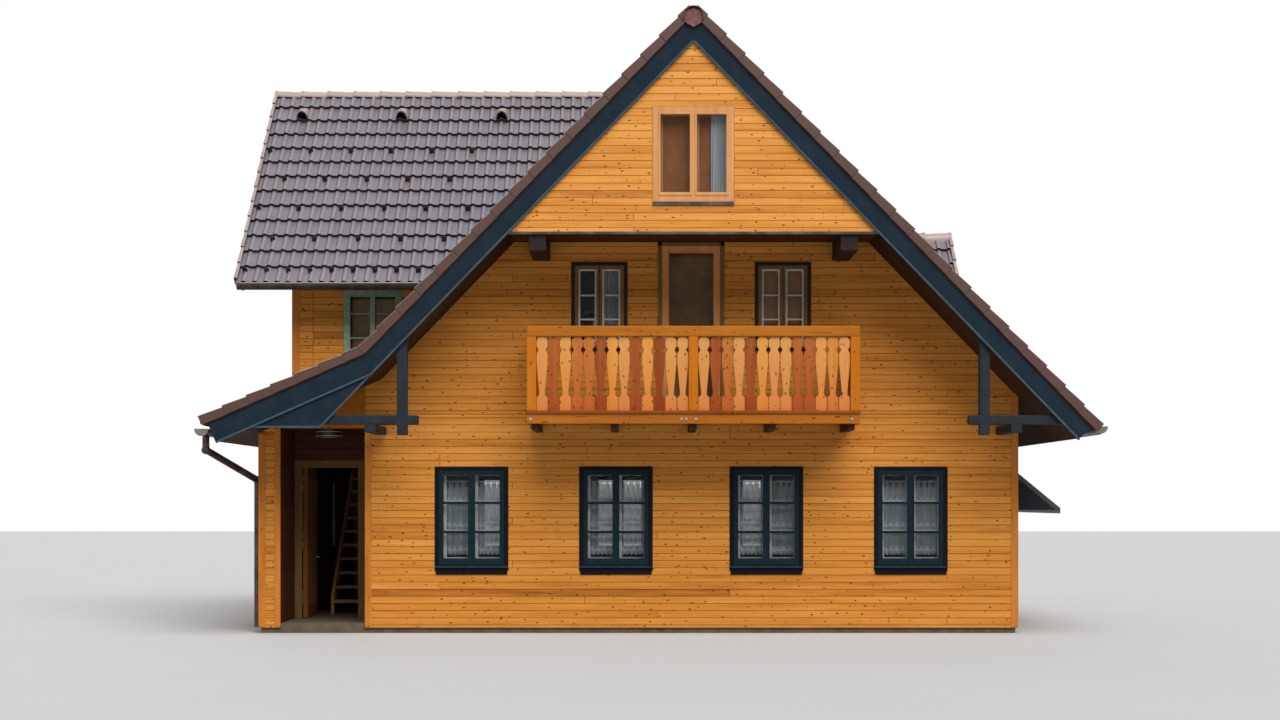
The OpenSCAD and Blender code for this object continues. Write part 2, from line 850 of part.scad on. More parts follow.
module wing_roof() {
  color(tile_brown) front_and_back() difference() {
    along_x(-wing_end + fascia_thick, 0) mirror([1, 0])
      slope_outline(wing_peak, wing_pitch, mitre / 2, wing_eave_y, tile_rise, soffit_depth);
    under_main_tiles(seat);
  }
}

module dormer_roof() {
  color(tile_brown) front_and_back() difference() {
    along_x(0, dormer_end - fascia_thick) mirror([1, 0])
      slope_outline(dormer_peak, roof_pitch, mitre / 2, dormer_eave_y, tile_rise, dormer_soffit);
    under_main_tiles(seat);
  }
}

dormer_window_low = main_z(tile_rise, dormer_face_x) + dormer_window_lift;

module dormer_walls() {
  color(wood) difference() {
    intersection() {
      difference() {
        block(0, dormer_face_x, -dormer_half, dormer_half, first_level, dormer_peak);
        block(-past, dormer_face_x - dormer_wall, -dormer_half + dormer_wall, dormer_half - dormer_wall,
          0, dormer_peak);
        under_main_soffit();
      }
      under_cross(dormer_peak, roof_pitch, dormer_soffit + seat, dormer_half, 0, dormer_face_x);
    }
    at_dormer_window() opening(dormer_window_width, dormer_window_low, dormer_window_height, dormer_wall);
  }
}

// Caps along the three ridges: half round above, with legs that come down to the tiles
module cap_outline(z) {
  inner = cap_r - cap_thick;
  translate([0, z - cap_r]) {
    difference() {
      circle(cap_r);
      circle(inner);
      translate([-cap_r, -cap_dia]) square([cap_dia, cap_dia]);
    }
    for (x = [-cap_r, inner]) translate([x, -cap_r]) square([cap_thick, cap_r]);
  }
}

module ridge_caps() {
  color(tile_brown) {
    difference() {
      along_y(-verge_y - verge_tile_proud, verge_y + verge_tile_proud)
        cap_outline(main_z(tile_rise / 2, 0));
      under_main_tiles(seat);
      under_cross(wing_peak + seat, wing_pitch, tile_rise, cap_dia, -cap_dia, 0);
      front_and_back() along_y(-verge_y - verge_tile_proud - past, -verge_y + past)
        polygon([
          [0, main_z(fascia_top, 0) + seat],
          [cap_dia, main_z(fascia_top, cap_dia) + seat],
          [cap_dia, 0], [-cap_dia, 0],
          [-cap_dia, main_z(fascia_top, cap_dia) + seat]
        ]);
    }
    difference() {
      along_x(-wing_end, -cap_r - seat) cap_outline(wing_z(tile_rise / 2, 0));
      under_main_tiles(seat);
      under_cross(wing_peak + seat, wing_pitch, tile_rise, cap_dia, -wing_end - past, 0);
    }
    difference() {
      along_x(cap_r, dormer_end) cap_outline(dormer_z(tile_rise / 2, 0));
      under_main_tiles(seat);
      under_cross(dormer_peak + seat, roof_pitch, tile_rise, cap_dia, 0, dormer_end + past);
    }
  }
}

// Boarded upper gables, which stand just behind the verge boards
panel_y = verge_y - fascia_thick;
panel_in = panel_y - gable_thick;

module gable_panels() {
  run = main_run(wall_depth, gable_low);
  color(wood) front_and_back() difference() {
    along_y(-panel_y, -panel_y + gable_thick) polygon([
      [-run, gable_low], [run, gable_low], [0, main_z(wall_depth, 0)]
    ]);
    translate([0, -panel_y, 0])
      opening(attic_window_width, attic_window_low, attic_window_height, gable_thick);
  }
}

// Verge boards with a square-cut foot
module verge_outline(peak, pitch, end, foot) {
  low = rafter_end(end, pitch, fascia_top);
  drop = low - rafter_end(end, pitch, foot);
  polygon([
    [mitre / 2, plane_z(peak, pitch, fascia_top, mitre / 2) - seat],
    [low, plane_z(peak, pitch, fascia_top, low) - seat],
    [low - drop, plane_z(peak, pitch, foot, low - drop)],
    [mitre / 2, plane_z(peak, pitch, foot, mitre / 2)]
  ]);
}

module left_verge_outline() {
  low = rafter_end(left_end, flare_pitch, fascia_top);
  drop = low - rafter_end(left_end, flare_pitch, flare_low);
  turn = kink(fascia_top, fascia_top);
  polygon([
    [-mitre / 2, main_z(fascia_top, mitre / 2) - seat],
    [-turn, main_z(fascia_top, turn) - seat],
    [-low, flare_z(fascia_top, low) - seat],
    [drop - low, flare_z(flare_low, low - drop)],
    [-kink(fascia_low, flare_low), main_z(fascia_low, kink(fascia_low, flare_low))],
    [-mitre / 2, main_z(fascia_low, mitre / 2)]
  ]);
}

module verge_boards() {
  dormer_low = dormer_soffit + fascia_low - soffit_depth;
  color(metal_blue) front_and_back() {
    along_y(-verge_y, -verge_y + fascia_thick) verge_outline(ridge_peak, roof_pitch, right_end, fascia_low);
    along_y(-verge_y, -verge_y + fascia_thick) left_verge_outline();
    along_x(-wing_end, -wing_end + fascia_thick) mirror([1, 0])
      verge_outline(wing_peak, wing_pitch, wing_eave_y, fascia_low);
    along_x(dormer_end - fascia_thick, dormer_end) mirror([1, 0])
      verge_outline(dormer_peak, roof_pitch, dormer_eave_y, dormer_low);
  }
}

// Triangular boards that close the angle below the flare, flush with the verge boards' backs
module flare_infill() {
  upper = fascia_low + seat;
  under = flare_low + seat;
  tip = kink(upper, under);
  inner = main_run(upper, infill_level);
  outer = (flare_z(under, 0) - infill_level) / flare_rise;
  color(metal_blue) front_and_back()
    along_y(-verge_y + fascia_thick - infill_thick, -verge_y + fascia_thick) polygon([
      [-tip, main_z(upper, tip)], [-inner, infill_level], [-outer, infill_level]
    ]);
}

// Flashing under the upper gables, and the window sills
module sill(width, low) {
  block(-width / 2, width / 2, -flashing_proud, 0, low - sill_height, low);
}

module flashings() {
  run = main_run(fascia_low, gable_low) - seat;
  color(metal_blue) {
    front_and_back()
      block(-run, run, -panel_y - flashing_proud, -panel_y + casing_proud,
        gable_low - flashing_height, gable_low);
    at_ground_windows() sill(ground_window_width, ground_window_low);
    at_upper_windows() sill(upper_window_width, upper_window_low);
    front_and_back() translate([0, -panel_y, 0]) sill(attic_window_width, attic_window_low);
  }
}

// Purlins: the middle pair runs through, the eave ends stand under the brackets
module purlins() {
  end_y = panel_y - casing_proud;
  color(dark_wood) {
    left_and_right() union() {
      block(mid_purlin_x, mid_purlin_x + mid_purlin_width, -panel_in, panel_in, mid_purlin_low, attic_under);
      block(mid_purlin_x, mid_purlin_x + mid_purlin_width, -end_y, end_y, mid_purlin_low, gable_low);
    }
    left_and_right() front_and_back()
      block(half_w - eave_purlin_in - eave_purlin_width, half_w - eave_purlin_in,
        -verge_y + fascia_thick, -half_d, tie_level - eave_purlin_height, tie_level);
  }
}

// Hanging post and tie beam, lapped into one another below each eave
module bracket_frames() {
  outer = half_w - bracket_in;
  inner = outer - bracket_post;
  tie_top = tie_level + tie_height;
  color(metal_blue) left_and_right() front_and_back()
    along_y(-verge_y + fascia_thick, -verge_y + fascia_thick + bracket_thick) union() {
      polygon([
        [inner, bracket_foot], [outer, bracket_foot],
        [outer, main_z(wall_depth, outer)], [inner, main_z(wall_depth, inner)]
      ]);
      polygon([
        [inner - tie_tail, tie_level], [main_run(wall_depth, tie_level), tie_level],
        [main_run(wall_depth, tie_top), tie_top], [inner - tie_tail, tie_top]
      ]);
    }
}

// Balcony, carried on joists that come out of the front wall
balcony_y = verge_y - fascia_thick;
ledge_top = balcony_level + ledge_height;
rail_low = rail_top - rail_height;

module balcony_floor() {
  inner = balcony_half - beam_thick;
  joist_span = 2 * inner - joist_width;
  color(dark_wood) union() {
    block(-inner, inner, -balcony_y + beam_thick, -half_d, balcony_level - deck_thick, balcony_level);
    for (i = [0 : joist_count - 1])
      translate([-inner + i * joist_span / (joist_count - 1), -balcony_y + beam_thick,
        balcony_level - deck_thick - joist_height])
        cube([joist_width, balcony_y - beam_thick - half_d, joist_height + deck_thick / 2]);
  }
}

// A beam with the ledge that stands proud of it
module beam_and_ledge(length, ledge_in) {
  block(0, length, 0, beam_thick, balcony_level - beam_height, balcony_level);
  block(0, length, -ledge_proud, ledge_in, balcony_level, ledge_top);
}

module balcony_beams() {
  side_length = balcony_y - half_d - post_width - mitre;
  color([0.85, 0.52, 0.18]) {
    translate([-balcony_half, -balcony_y, 0]) beam_and_ledge(2 * balcony_half, post_width);
    left_and_right() translate([balcony_half, -half_d - side_length, 0]) rotate([0, 0, 90])
      beam_and_ledge(side_length, post_width);
  }
}

module balcony_posts() {
  color([0.85, 0.52, 0.18]) {
    for (x = [-balcony_half, -post_width / 2, balcony_half - post_width])
      block(x, x + post_width, -balcony_y, -balcony_y + post_width, ledge_top, rail_low);
    left_and_right()
      block(balcony_half - post_width, balcony_half, -half_d - post_width, -half_d, ledge_top, rail_low);
  }
}

module balcony_rails() {
  color([0.85, 0.52, 0.18]) {
    block(-balcony_half, balcony_half, -balcony_y, -balcony_y + rail_thick, rail_low, rail_top);
    left_and_right()
      block(balcony_half - rail_thick, balcony_half, -balcony_y + rail_thick + mitre, -half_d,
        rail_low, rail_top);
  }
}

// Half of a sawn baluster, from its foot: share of the height, and share of the saw cut's depth
saw_cuts = [[0, 0], [0.18, 0], [0.21, 1], [0.26, 1], [0.64, 0], [0.77, 0], [0.82, 0.8], [0.87, 0]];
cut_depth = 34;
arch_start = 0.93;
arch_steps = 6;

module baluster(width, height) {
  half = width / 2;
  side = [for (p = saw_cuts) [half - p[1] * cut_depth, p[0] * height]];
  arch = [for (i = [0 : arch_steps])
    [half * cos(90 * i / arch_steps), height * (arch_start + (1 - arch_start) * sin(90 * i / arch_steps))]];
  right = concat(side, arch);
  left = [for (i = [len(right) - 2 : -1 : 0]) [-right[i][0], right[i][1]]];
  translate([0, baluster_thick / 2, 0]) rotate([90, 0, 0]) linear_extrude(baluster_thick)
    polygon(concat(right, left));
}

// A row of balusters along +X from the origin
module baluster_row(length, count) {
  pitch = length / count;
  for (i = [0 : count - 1])
    translate([(i + 0.5) * pitch, rail_thick / 2, ledge_top]) baluster(pitch - baluster_gap, rail_low - ledge_top);
}

module front_balusters() {
  bay = balcony_half - 1.5 * post_width;
  color([0.86, 0.60, 0.28]) {
    translate([post_width / 2, -balcony_y, 0]) baluster_row(bay, bay_count);
    translate([-post_width / 2 - bay, -balcony_y, 0]) baluster_row(bay, bay_count);
  }
}

module side_balusters() {
  bay = balcony_y - half_d - 2 * post_width;
  color([0.86, 0.60, 0.28]) left_and_right()
    translate([balcony_half, -balcony_y + post_width, 0]) rotate([0, 0, 90]) baluster_row(bay, side_count);
}

// Windows and the balcony door

module ground_window_frames() {
  color(metal_blue) at_ground_windows() frame(ground_window_width, ground_window_low, ground_window_height);
}

module upper_window_frames() {
  color([0.35, 0.24, 0.18]) at_upper_windows()
    frame(upper_window_width, upper_window_low, upper_window_height);
}

module attic_window_frames() {
  color([0.82, 0.60, 0.42]) front_and_back() translate([0, -panel_y, 0])
    frame(attic_window_width, attic_window_low, attic_window_height);
}

module wing_window_frames() {
  mid = (wing_window_left + wing_window_right) / 2;
  rake_inset = frame_face / cos(roof_pitch) - frame_face;
  color([0.48, 0.56, 0.48]) {
    front_and_back() translate([0, -wing_half, 0]) difference() {
      along_y(-casing_proud, frame_depth) wing_window_outline(0, 0);
      difference() {
        along_y(-casing_proud - past, frame_depth + past)
          wing_window_outline(frame_face, frame_face + rake_inset);
        block(-mid - mullion / 2, -mid + mullion / 2, -wing_half, frame_depth - glass_thick,
          first_level, wing_window_top);
      }
    }
    at_dormer_window() frame(dormer_window_width, dormer_window_low, dormer_window_height);
  }
}

module balcony_door() {
  glass_half = balcony_door_width / 2 - balcony_door_face;
  color(wood) at_front(0) difference() {
    block(-balcony_door_width / 2, balcony_door_width / 2, -casing_proud, frame_depth,
      first_level, balcony_door_top);
    block(-glass_half, glass_half, -casing_proud - past, frame_depth + past,
      first_level + frame_face, balcony_door_top - balcony_door_face);
  }
}

module window_glass() {
  glass_half = balcony_door_width / 2 - balcony_door_face;
  rake_inset = frame_face / cos(roof_pitch) - frame_face;
  color([0.55, 0.65, 0.70, 0.5]) {
    at_ground_windows() pane(ground_window_width, ground_window_low, ground_window_height);
    at_upper_windows() pane(upper_window_width, upper_window_low, upper_window_height);
    front_and_back() translate([0, -panel_y, 0])
      pane(attic_window_width, attic_window_low, attic_window_height);
    front_and_back() translate([0, -wing_half, 0]) along_y(frame_depth - glass_thick, frame_depth)
      wing_window_outline(frame_face, frame_face + rake_inset);
    at_dormer_window() pane(dormer_window_width, dormer_window_low, dormer_window_height);
    at_front(0) block(-glass_half, glass_half, frame_depth - glass_thick, frame_depth,
      first_level + frame_face, balcony_door_top - balcony_door_face);
  }
}

// Half round gutters with closed ends, and the hooks that hold them to the rafter ends
gutter_r = gutter_width / 2;
left_gutter_z = flare_z(0, left_end) - left_gutter_drop;
right_gutter_z = main_z(0, right_end) - right_gutter_drop;
wing_gutter_z = wing_z(0, wing_eave_y) - wing_gutter_drop;
hook_width = 25;
hook_reach = 140;

module half_disc(r) {
  intersection() {
    circle(r);
    translate([-r, -r]) square([2 * r, r]);
  }
}

// Gutter along Y with its rim's middle at the origin and the house towards -X
module gutter(y0, y1) {
  difference() {
    along_y(y0, y1) half_disc(gutter_r);
    along_y(y0 + gutter_thick, y1 - gutter_thick) circle(gutter_r - gutter_thick);
  }
  for (i = [0 : hook_count - 1])
    translate([-gutter_r - hook_reach, y0 + (i + 0.5) * (y1 - y0) / hook_count, -2 * gutter_thick])
      cube([hook_reach + gutter_thick, hook_width, gutter_thick]);
}

module gutters() {
  color([0.30, 0.26, 0.24]) {
    difference() {
      translate([right_end + right_gutter_out, 0, right_gutter_z]) gutter(-verge_y, verge_y);
      translate([seat, 0, -seat]) {
        along_y(-verge_y - past, verge_y + past)
          slope_outline(ridge_peak, roof_pitch, half_w, right_end, tile_rise, soffit_depth);
        front_and_back() {
          along_y(-verge_y - past, -verge_y + fascia_thick + seat)
            verge_outline(ridge_peak, roof_pitch, right_end, fascia_low);
          along_y(-verge_y - verge_tile_proud - past, -verge_y - verge_tile_proud + verge_tile_width + seat)
            right_verge_tiles();
        }
      }
    }
    difference() {
      translate([gutter_in - left_end, 0, left_gutter_z]) rotate([0, 0, 180]) gutter(-verge_y, verge_y);
      translate([-seat, 0, -seat]) {
        along_y(-verge_y - past, verge_y + past)
          left_outline(tile_rise, soffit_depth, soffit_depth + flare_extra);
        front_and_back() along_y(-verge_y - past, -verge_y + fascia_thick + seat) left_verge_outline();
      }
    }
    front_and_back() difference() {
      translate([0, gutter_in - wing_eave_y, wing_gutter_z]) rotate([0, 0, -90])
        gutter(-wing_end, -half_w);
      translate([0, -seat, -seat]) {
        along_x(-wing_end - past, 0) mirror([1, 0])
          slope_outline(wing_peak, wing_pitch, 0, wing_eave_y, tile_rise, soffit_depth);
        along_x(-wing_end - past, -wing_end + fascia_thick + seat) mirror([1, 0])
          verge_outline(wing_peak, wing_pitch, wing_eave_y, fascia_low);
      }
    }
  }
}

// Downpipe: from the left gutter back to the annex wall, then down beside its front corner
pipe_r = downpipe_dia / 2;
gutter_mid = gutter_in - left_end;
pipe_wall_x = -annex_x - pipe_gap - pipe_r;
outlet_in = 260;
outlet_low = 62;
upper_bend = 260;
lower_bend = 640;
pipe_corner = 200;
pipe_out_y = -verge_y + outlet_in;
pipe_wall_y = -half_d + pipe_corner;
pipe_route = [
  [gutter_mid, pipe_out_y, left_gutter_z - outlet_low],
  [gutter_mid, pipe_out_y, left_gutter_z - upper_bend],
  [pipe_wall_x, pipe_wall_y, left_gutter_z - lower_bend],
  [pipe_wall_x, pipe_wall_y, plinth_height]
];
bend_proud = 12;
low_clip = 420;
high_clip = 1450;
clip_height = 30;

module pipe_length(a, b) {
  d = b - a;
  length = norm(d);
  translate(a) rotate([0, acos(d[2] / length), atan2(d[1], d[0])]) cylinder(r = pipe_r, h = length);
}

module downpipe() {
  color([0.30, 0.26, 0.24]) difference() {
    union() {
      for (i = [0 : len(pipe_route) - 2]) pipe_length(pipe_route[i], pipe_route[i + 1]);
      for (i = [1 : len(pipe_route) - 2]) translate(pipe_route[i]) sphere(pipe_r + bend_proud);
      for (z = [low_clip, high_clip])
        block(pipe_wall_x, -annex_x, pipe_wall_y - clip_height / 2, pipe_wall_y + clip_height / 2,
          z, z + clip_height);
    }
    translate([gutter_mid, 0, left_gutter_z]) along_y(-verge_y, verge_y) circle(gutter_r + seat);
  }
}

// Lean-to canopy on the right wall
canopy_rise = tan(canopy_pitch);
canopy_drop = canopy_thick / cos(canopy_pitch);

module canopy_roof() {
  end = half_w + canopy_reach;
  color([0.55, 0.56, 0.56]) along_y(-canopy_length / 2, canopy_length / 2) polygon([
    [half_w, canopy_level], [end, canopy_level - canopy_reach * canopy_rise],
    [end, canopy_level - canopy_reach * canopy_rise - canopy_drop], [half_w, canopy_level - canopy_drop]
  ]);
}

module canopy_brackets() {
  reach = canopy_reach - canopy_bracket;
  under = canopy_level - canopy_drop - seat;
  color(metal_blue) front_and_back()
    along_y(-canopy_length / 2, -canopy_length / 2 + canopy_bracket) polygon([
      [half_w, under], [half_w + reach, under - reach * canopy_rise],
      [half_w, under - reach * canopy_rise]
    ]);
}

// Entrance door, drawn shut and then turned open about its hinge
entrance_depth = 110;
stop_gap = 6;
jamb_left = -annex_in + door_frame_face;
jamb_right = door_right - door_frame_face;
head_low = door_frame_top - door_frame_face;
frame_back = -wing_half + entrance_depth;
hinge_out = barrel_r + hinge_plate / 2;
hinge_x = jamb_left + leaf_gap / 2;
hinge_y = frame_back + hinge_out;
hinge_in = 260;
hinge_first = ground_level + hinge_in;
hinge_last = head_low - hinge_in;
hinge_levels = [hinge_first, (hinge_first + hinge_last) / 2, hinge_last];
hinge_plate_width = 45;
open_angle = 90;

module entrance_frame() {
  color([0.36, 0.22, 0.14]) difference() {
    block(-annex_in, door_right, -wing_half, frame_back, ground_level, door_frame_top);
    block(jamb_left, jamb_right, frame_back - leaf_thick - stop_gap, frame_back + past,
      ground_level - past, head_low);
    block(jamb_left + door_stop, jamb_right - door_stop, -wing_half - past, frame_back,
      ground_level - past, head_low - door_stop);
  }
}

// Frame halves of the hinges, with the pins
module entrance_hinges() {
  color([0.30, 0.30, 0.32]) for (z = hinge_levels) {
    translate([hinge_x, hinge_y, z - barrel_height])
      cylinder(r = pin_r, h = 3 * barrel_height, $fn = small_fn);
    for (low = [z - barrel_height, z + barrel_height]) {
      translate([hinge_x, hinge_y, low]) cylinder(r = barrel_r, h = barrel_height, $fn = small_fn);
      block(hinge_x - hinge_plate_width, hinge_x, frame_back, frame_back + hinge_plate,
        low, low + barrel_height);
    }
  }
}

module opened() {
  translate([hinge_x, hinge_y, 0]) rotate([0, 0, open_angle]) translate([-hinge_x, -hinge_y, 0]) children();
}

module entrance_leaf() {
  leaf_left = jamb_left + leaf_gap;
  color([0.40, 0.24, 0.15]) opened() {
    difference() {
      union() {
        block(leaf_left, jamb_right - leaf_gap, frame_back - leaf_thick, frame_back,
          ground_level + leaf_gap, head_low - leaf_gap);
        for (z = hinge_levels) {
          block(hinge_x, hinge_x + hinge_plate_width, frame_back, frame_back + hinge_plate,
            z + pin_gap, z + barrel_height - pin_gap);
          translate([hinge_x, hinge_y, z + pin_gap])
            cylinder(r = barrel_r, h = barrel_height - 2 * pin_gap, $fn = small_fn);
        }
      }
      for (z = hinge_levels)
        translate([hinge_x, hinge_y, z - past])
          cylinder(r = pin_r + pin_gap, h = barrel_height + 2 * past, $fn = small_fn);
    }
  }
}

rose_r = 26;
rose_thick = 8;
neck_length = 42;
grip_r = 9;
handle_in = 60;

module entrance_handle() {
  x = jamb_right - leaf_gap - handle_in;
  color([0.55, 0.55, 0.56]) opened()
    for (face = [[frame_back, 1], [frame_back - leaf_thick, -1]])
      translate([x, face[0], handle_level]) rotate([-90 * face[1], 0, 0]) {
        cylinder(r = rose_r, h = rose_thick, $fn = small_fn);
        cylinder(r = grip_r, h = neck_length, $fn = small_fn);
        translate([grip_r, 0, neck_length]) rotate([0, -90, 0])
          cylinder(r = grip_r, h = handle_length, $fn = small_fn);
      }
}

module porch_lamp() {
  x = -(annex_in + half_w) / 2;
  y = -half_d + porch_depth / 2;
  rim = lamp_height / 5;
  color([0.9, 0.9, 0.86]) translate([x, y, porch_head]) {
    translate([0, 0, -rim]) cylinder(d = lamp_dia, h = rim);
    translate([0, 0, -rim]) rotate([180, 0, 0])
      cylinder(d1 = lamp_dia * 0.94, d2 = lamp_dia * 0.7, h = lamp_height - rim);
  }
}

ground_slab();
front_wall_ground();
front_wall_upper();
back_wall_ground();
back_wall_upper();
right_wall();
left_wall();
annex_wall();
door_wall_side();
door_wall_top();
porch_ceiling();
porch_lintel();
first_floor();
attic_floor();
stair_treads();
stair_strings();
wing_walls();
wing_gable_wall();
roof_left();
roof_right();
wing_roof();
dormer_walls();
dormer_roof();
ridge_caps();
gable_panels();
verge_boards();
flare_infill();
flashings();
purlins();
bracket_frames();
balcony_floor();
balcony_beams();
balcony_posts();
balcony_rails();
front_balusters();
side_balusters();
ground_window_frames();
upper_window_frames();
attic_window_frames();
wing_window_frames();
balcony_door();
window_glass();
gutters();
downpipe();
canopy_roof();
canopy_brackets();
entrance_frame();
entrance_hinges();
entrance_leaf();
entrance_handle();
porch_lamp();
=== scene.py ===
# %% [markdown]
# This lesson dresses an alpine timber chalet. Its walls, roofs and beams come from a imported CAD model,
# which stays where it is. Blender adds what a quick stand-in lacks: boards, tiles, sashes, curtains
# and finishes. Everything is in metres, and the front of the house looks towards -Y.

import math
import random

import bmesh
import bpy
from mathutils import Matrix, Vector


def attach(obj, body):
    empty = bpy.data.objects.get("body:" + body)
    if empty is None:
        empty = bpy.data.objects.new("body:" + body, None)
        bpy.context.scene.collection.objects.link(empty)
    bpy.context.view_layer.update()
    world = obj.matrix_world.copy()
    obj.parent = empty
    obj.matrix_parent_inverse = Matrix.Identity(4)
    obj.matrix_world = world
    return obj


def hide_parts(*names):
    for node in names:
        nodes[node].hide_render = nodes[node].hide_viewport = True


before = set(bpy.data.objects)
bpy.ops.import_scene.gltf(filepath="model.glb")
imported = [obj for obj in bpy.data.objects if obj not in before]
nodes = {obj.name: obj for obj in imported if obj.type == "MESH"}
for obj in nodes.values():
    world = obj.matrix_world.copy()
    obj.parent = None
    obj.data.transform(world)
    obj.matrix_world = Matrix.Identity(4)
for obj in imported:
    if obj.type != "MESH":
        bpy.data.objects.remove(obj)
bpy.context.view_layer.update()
print("CAD nodes:", len(nodes))

# %% [markdown]
# The wall faces that carry boards and windows lie at these distances from the middle of the house.

# %% Faces of the house
FRONT = 3.4
SIDE = 4.335
ANNEX = 5.74
WING_END = 5.48
WING_SIDE = 2.36
WING_WINDOW = -4.38
GABLE = 4.47
DORMER_FACE = 3.6
DORMER_SIDE = 0.97
QUARTER = math.pi / 2
print("front wall at Y", -FRONT)

# %% [markdown]
# The camera stands where the photographer stood, 24.5 m in front of the verge and at eye level.
# It looks straight along +Y, so uprights stay upright, and a shift moves the frame up the house.

# %% Camera
FOCAL = 1928
PICTURE_WIDTH = 1280
PICTURE_HEIGHT = 720
HORIZON = 500
EYE = (-0.68, -29.04, 1.77)
camera_data = bpy.data.cameras.new("camera")
camera_data.sensor_width = 36.0
camera_data.lens = FOCAL / PICTURE_WIDTH * 36.0
camera_data.shift_y = (HORIZON - PICTURE_HEIGHT / 2) / PICTURE_WIDTH
camera_data.clip_end = 300
camera = bpy.data.objects.new("camera", camera_data)
camera.location = EYE
camera.rotation_euler = (QUARTER, 0, 0)
bpy.context.scene.collection.objects.link(camera)
bpy.context.scene.camera = camera
print("lens", round(camera_data.lens, 1), "mm")

# %% [markdown]
# Shader maths is easier to read as an expression than as a wall of nodes. The small class below
# wraps an output socket, so that a * b + c adds its Math nodes by itself. One function adds any
# node: its settings go first, then its sockets get values or links.

# %% Nodes and socket arithmetic
class Socket:
    """One output of a shader node, with operators that add Math nodes."""

    def __init__(self, tree, output):
        self.tree = tree
        self.output = output

    def other(self, output):
        """Another output of the same node."""
        return Socket(self.tree, self.output.node.outputs[output])

    def combine(self, operation, left, right):
        return add_node(self.tree, "ShaderNodeMath", {"operation": operation}, {0: left, 1: right})

    def __add__(self, other):
        return self.combine("ADD", self, other)

    def __radd__(self, other):
        return self.combine("ADD", other, self)

    def __sub__(self, other):
        return self.combine("SUBTRACT", self, other)

    def __rsub__(self, other):
        return self.combine("SUBTRACT", other, self)

    def __mul__(self, other):
        return self.combine("MULTIPLY", self, other)

    def __lt__(self, other):
        return self.combine("LESS_THAN", self, other)

    def __gt__(self, other):
        return self.combine("GREATER_THAN", self, other)


def add_node(tree, kind, settings=None, values=None, output=0):
    made = tree.nodes.new(kind)
    for name, value in (settings or {}).items():
        if name != "stops":
            setattr(made, name, value)
            continue
        ramp = made.color_ramp.elements
        while len(ramp) < len(value):
            ramp.new(0.5)
        for stop, (place, colour) in zip(ramp, value):
            stop.position = place
            stop.color = colour
    for name, value in (values or {}).items():
        if isinstance(value, Socket):
            tree.links.new(value.output, made.inputs[name])
        else:
            made.inputs[name].default_value = value
    return Socket(tree, made.outputs[output]) if made.outputs else None


def paint(red, green, blue):
    """A colour written as it shows on a screen, as linear values for a shader."""
    linear = []
    for value in (red, green, blue):
        value = value / 255
        linear.append(value / 12.92 if value < 0.04045 else ((value + 0.055) / 1.055) ** 2.4)
    return (*linear, 1)


print("paint(128, 128, 128) =", [round(value, 3) for value in paint(128, 128, 128)])

# %% [markdown]
# A pale floor carries the shadow of the house. High daylight is copied with one wide sun lamp from
# the front, a weaker one from the left for shape, and an even pale world. The world shows white only
# to the camera and to glossy or clear surfaces, so it doesn't add light.

# %% Floor, lamps and world
bpy.ops.object.select_all(action="DESELECT")
bpy.ops.mesh.primitive_grid_add(x_subdivisions=8, y_subdivisions=8, size=160)
floor = bpy.context.active_object
floor.name = "studio_floor"
bpy.ops.object.transform_apply(location=True, rotation=True, scale=True)


def sun_lamp(name, strength, softness, tilt, turn, tint=(1, 1, 1)):
    """A sun lamp that shines down at a tilt from straight down, turned about Z."""
    lamp = bpy.data.lights.new(name, "SUN")
    lamp.energy = strength
    lamp.angle = math.radians(softness)
    lamp.color = tint
    holder = bpy.data.objects.new(name, lamp)
    holder.rotation_euler = (math.radians(tilt), 0, math.radians(turn))
    bpy.context.scene.collection.objects.link(holder)


sun_lamp("day_sun", 4.0, 50, 37, 20, (1.0, 0.98, 0.95))
sun_lamp("left_fill", 0.2, 60, 50, -60)
sun_lamp("back_fill", 0.5, 60, 55, 190)

world = bpy.data.worlds.new("studio_world")
bpy.context.scene.world = world
world.use_nodes = True
sky = world.node_tree
sky.nodes.clear()
seen = add_node(sky, "ShaderNodeLightPath", output="Is Camera Ray")
clear = seen.other("Is Transmission Ray")
glossy = seen.other("Is Glossy Ray")
seen = seen.combine("MAXIMUM", seen, clear)
seen = seen.combine("MAXIMUM", seen, glossy)
even = add_node(sky, "ShaderNodeBackground", values={"Color": (0.93, 0.96, 1.0, 1), "Strength": 0.16})
white = add_node(sky, "ShaderNodeBackground", values={"Color": (1, 1, 1, 1), "Strength": 1.0})
chosen = add_node(sky, "ShaderNodeMixShader", values={0: seen, 1: even, 2: white})
add_node(sky, "ShaderNodeOutputWorld", values={"Surface": chosen})
bpy.context.scene.view_settings.view_transform = "Standard"
print("lamps:", [light.name for light in bpy.data.lights])

# %% [markdown]
# A finish is a material with a Principled shader. The patterns read Object coordinates, which are
# the same as the frame's metres here, because every piece sits at the origin with its place in its
# mesh.

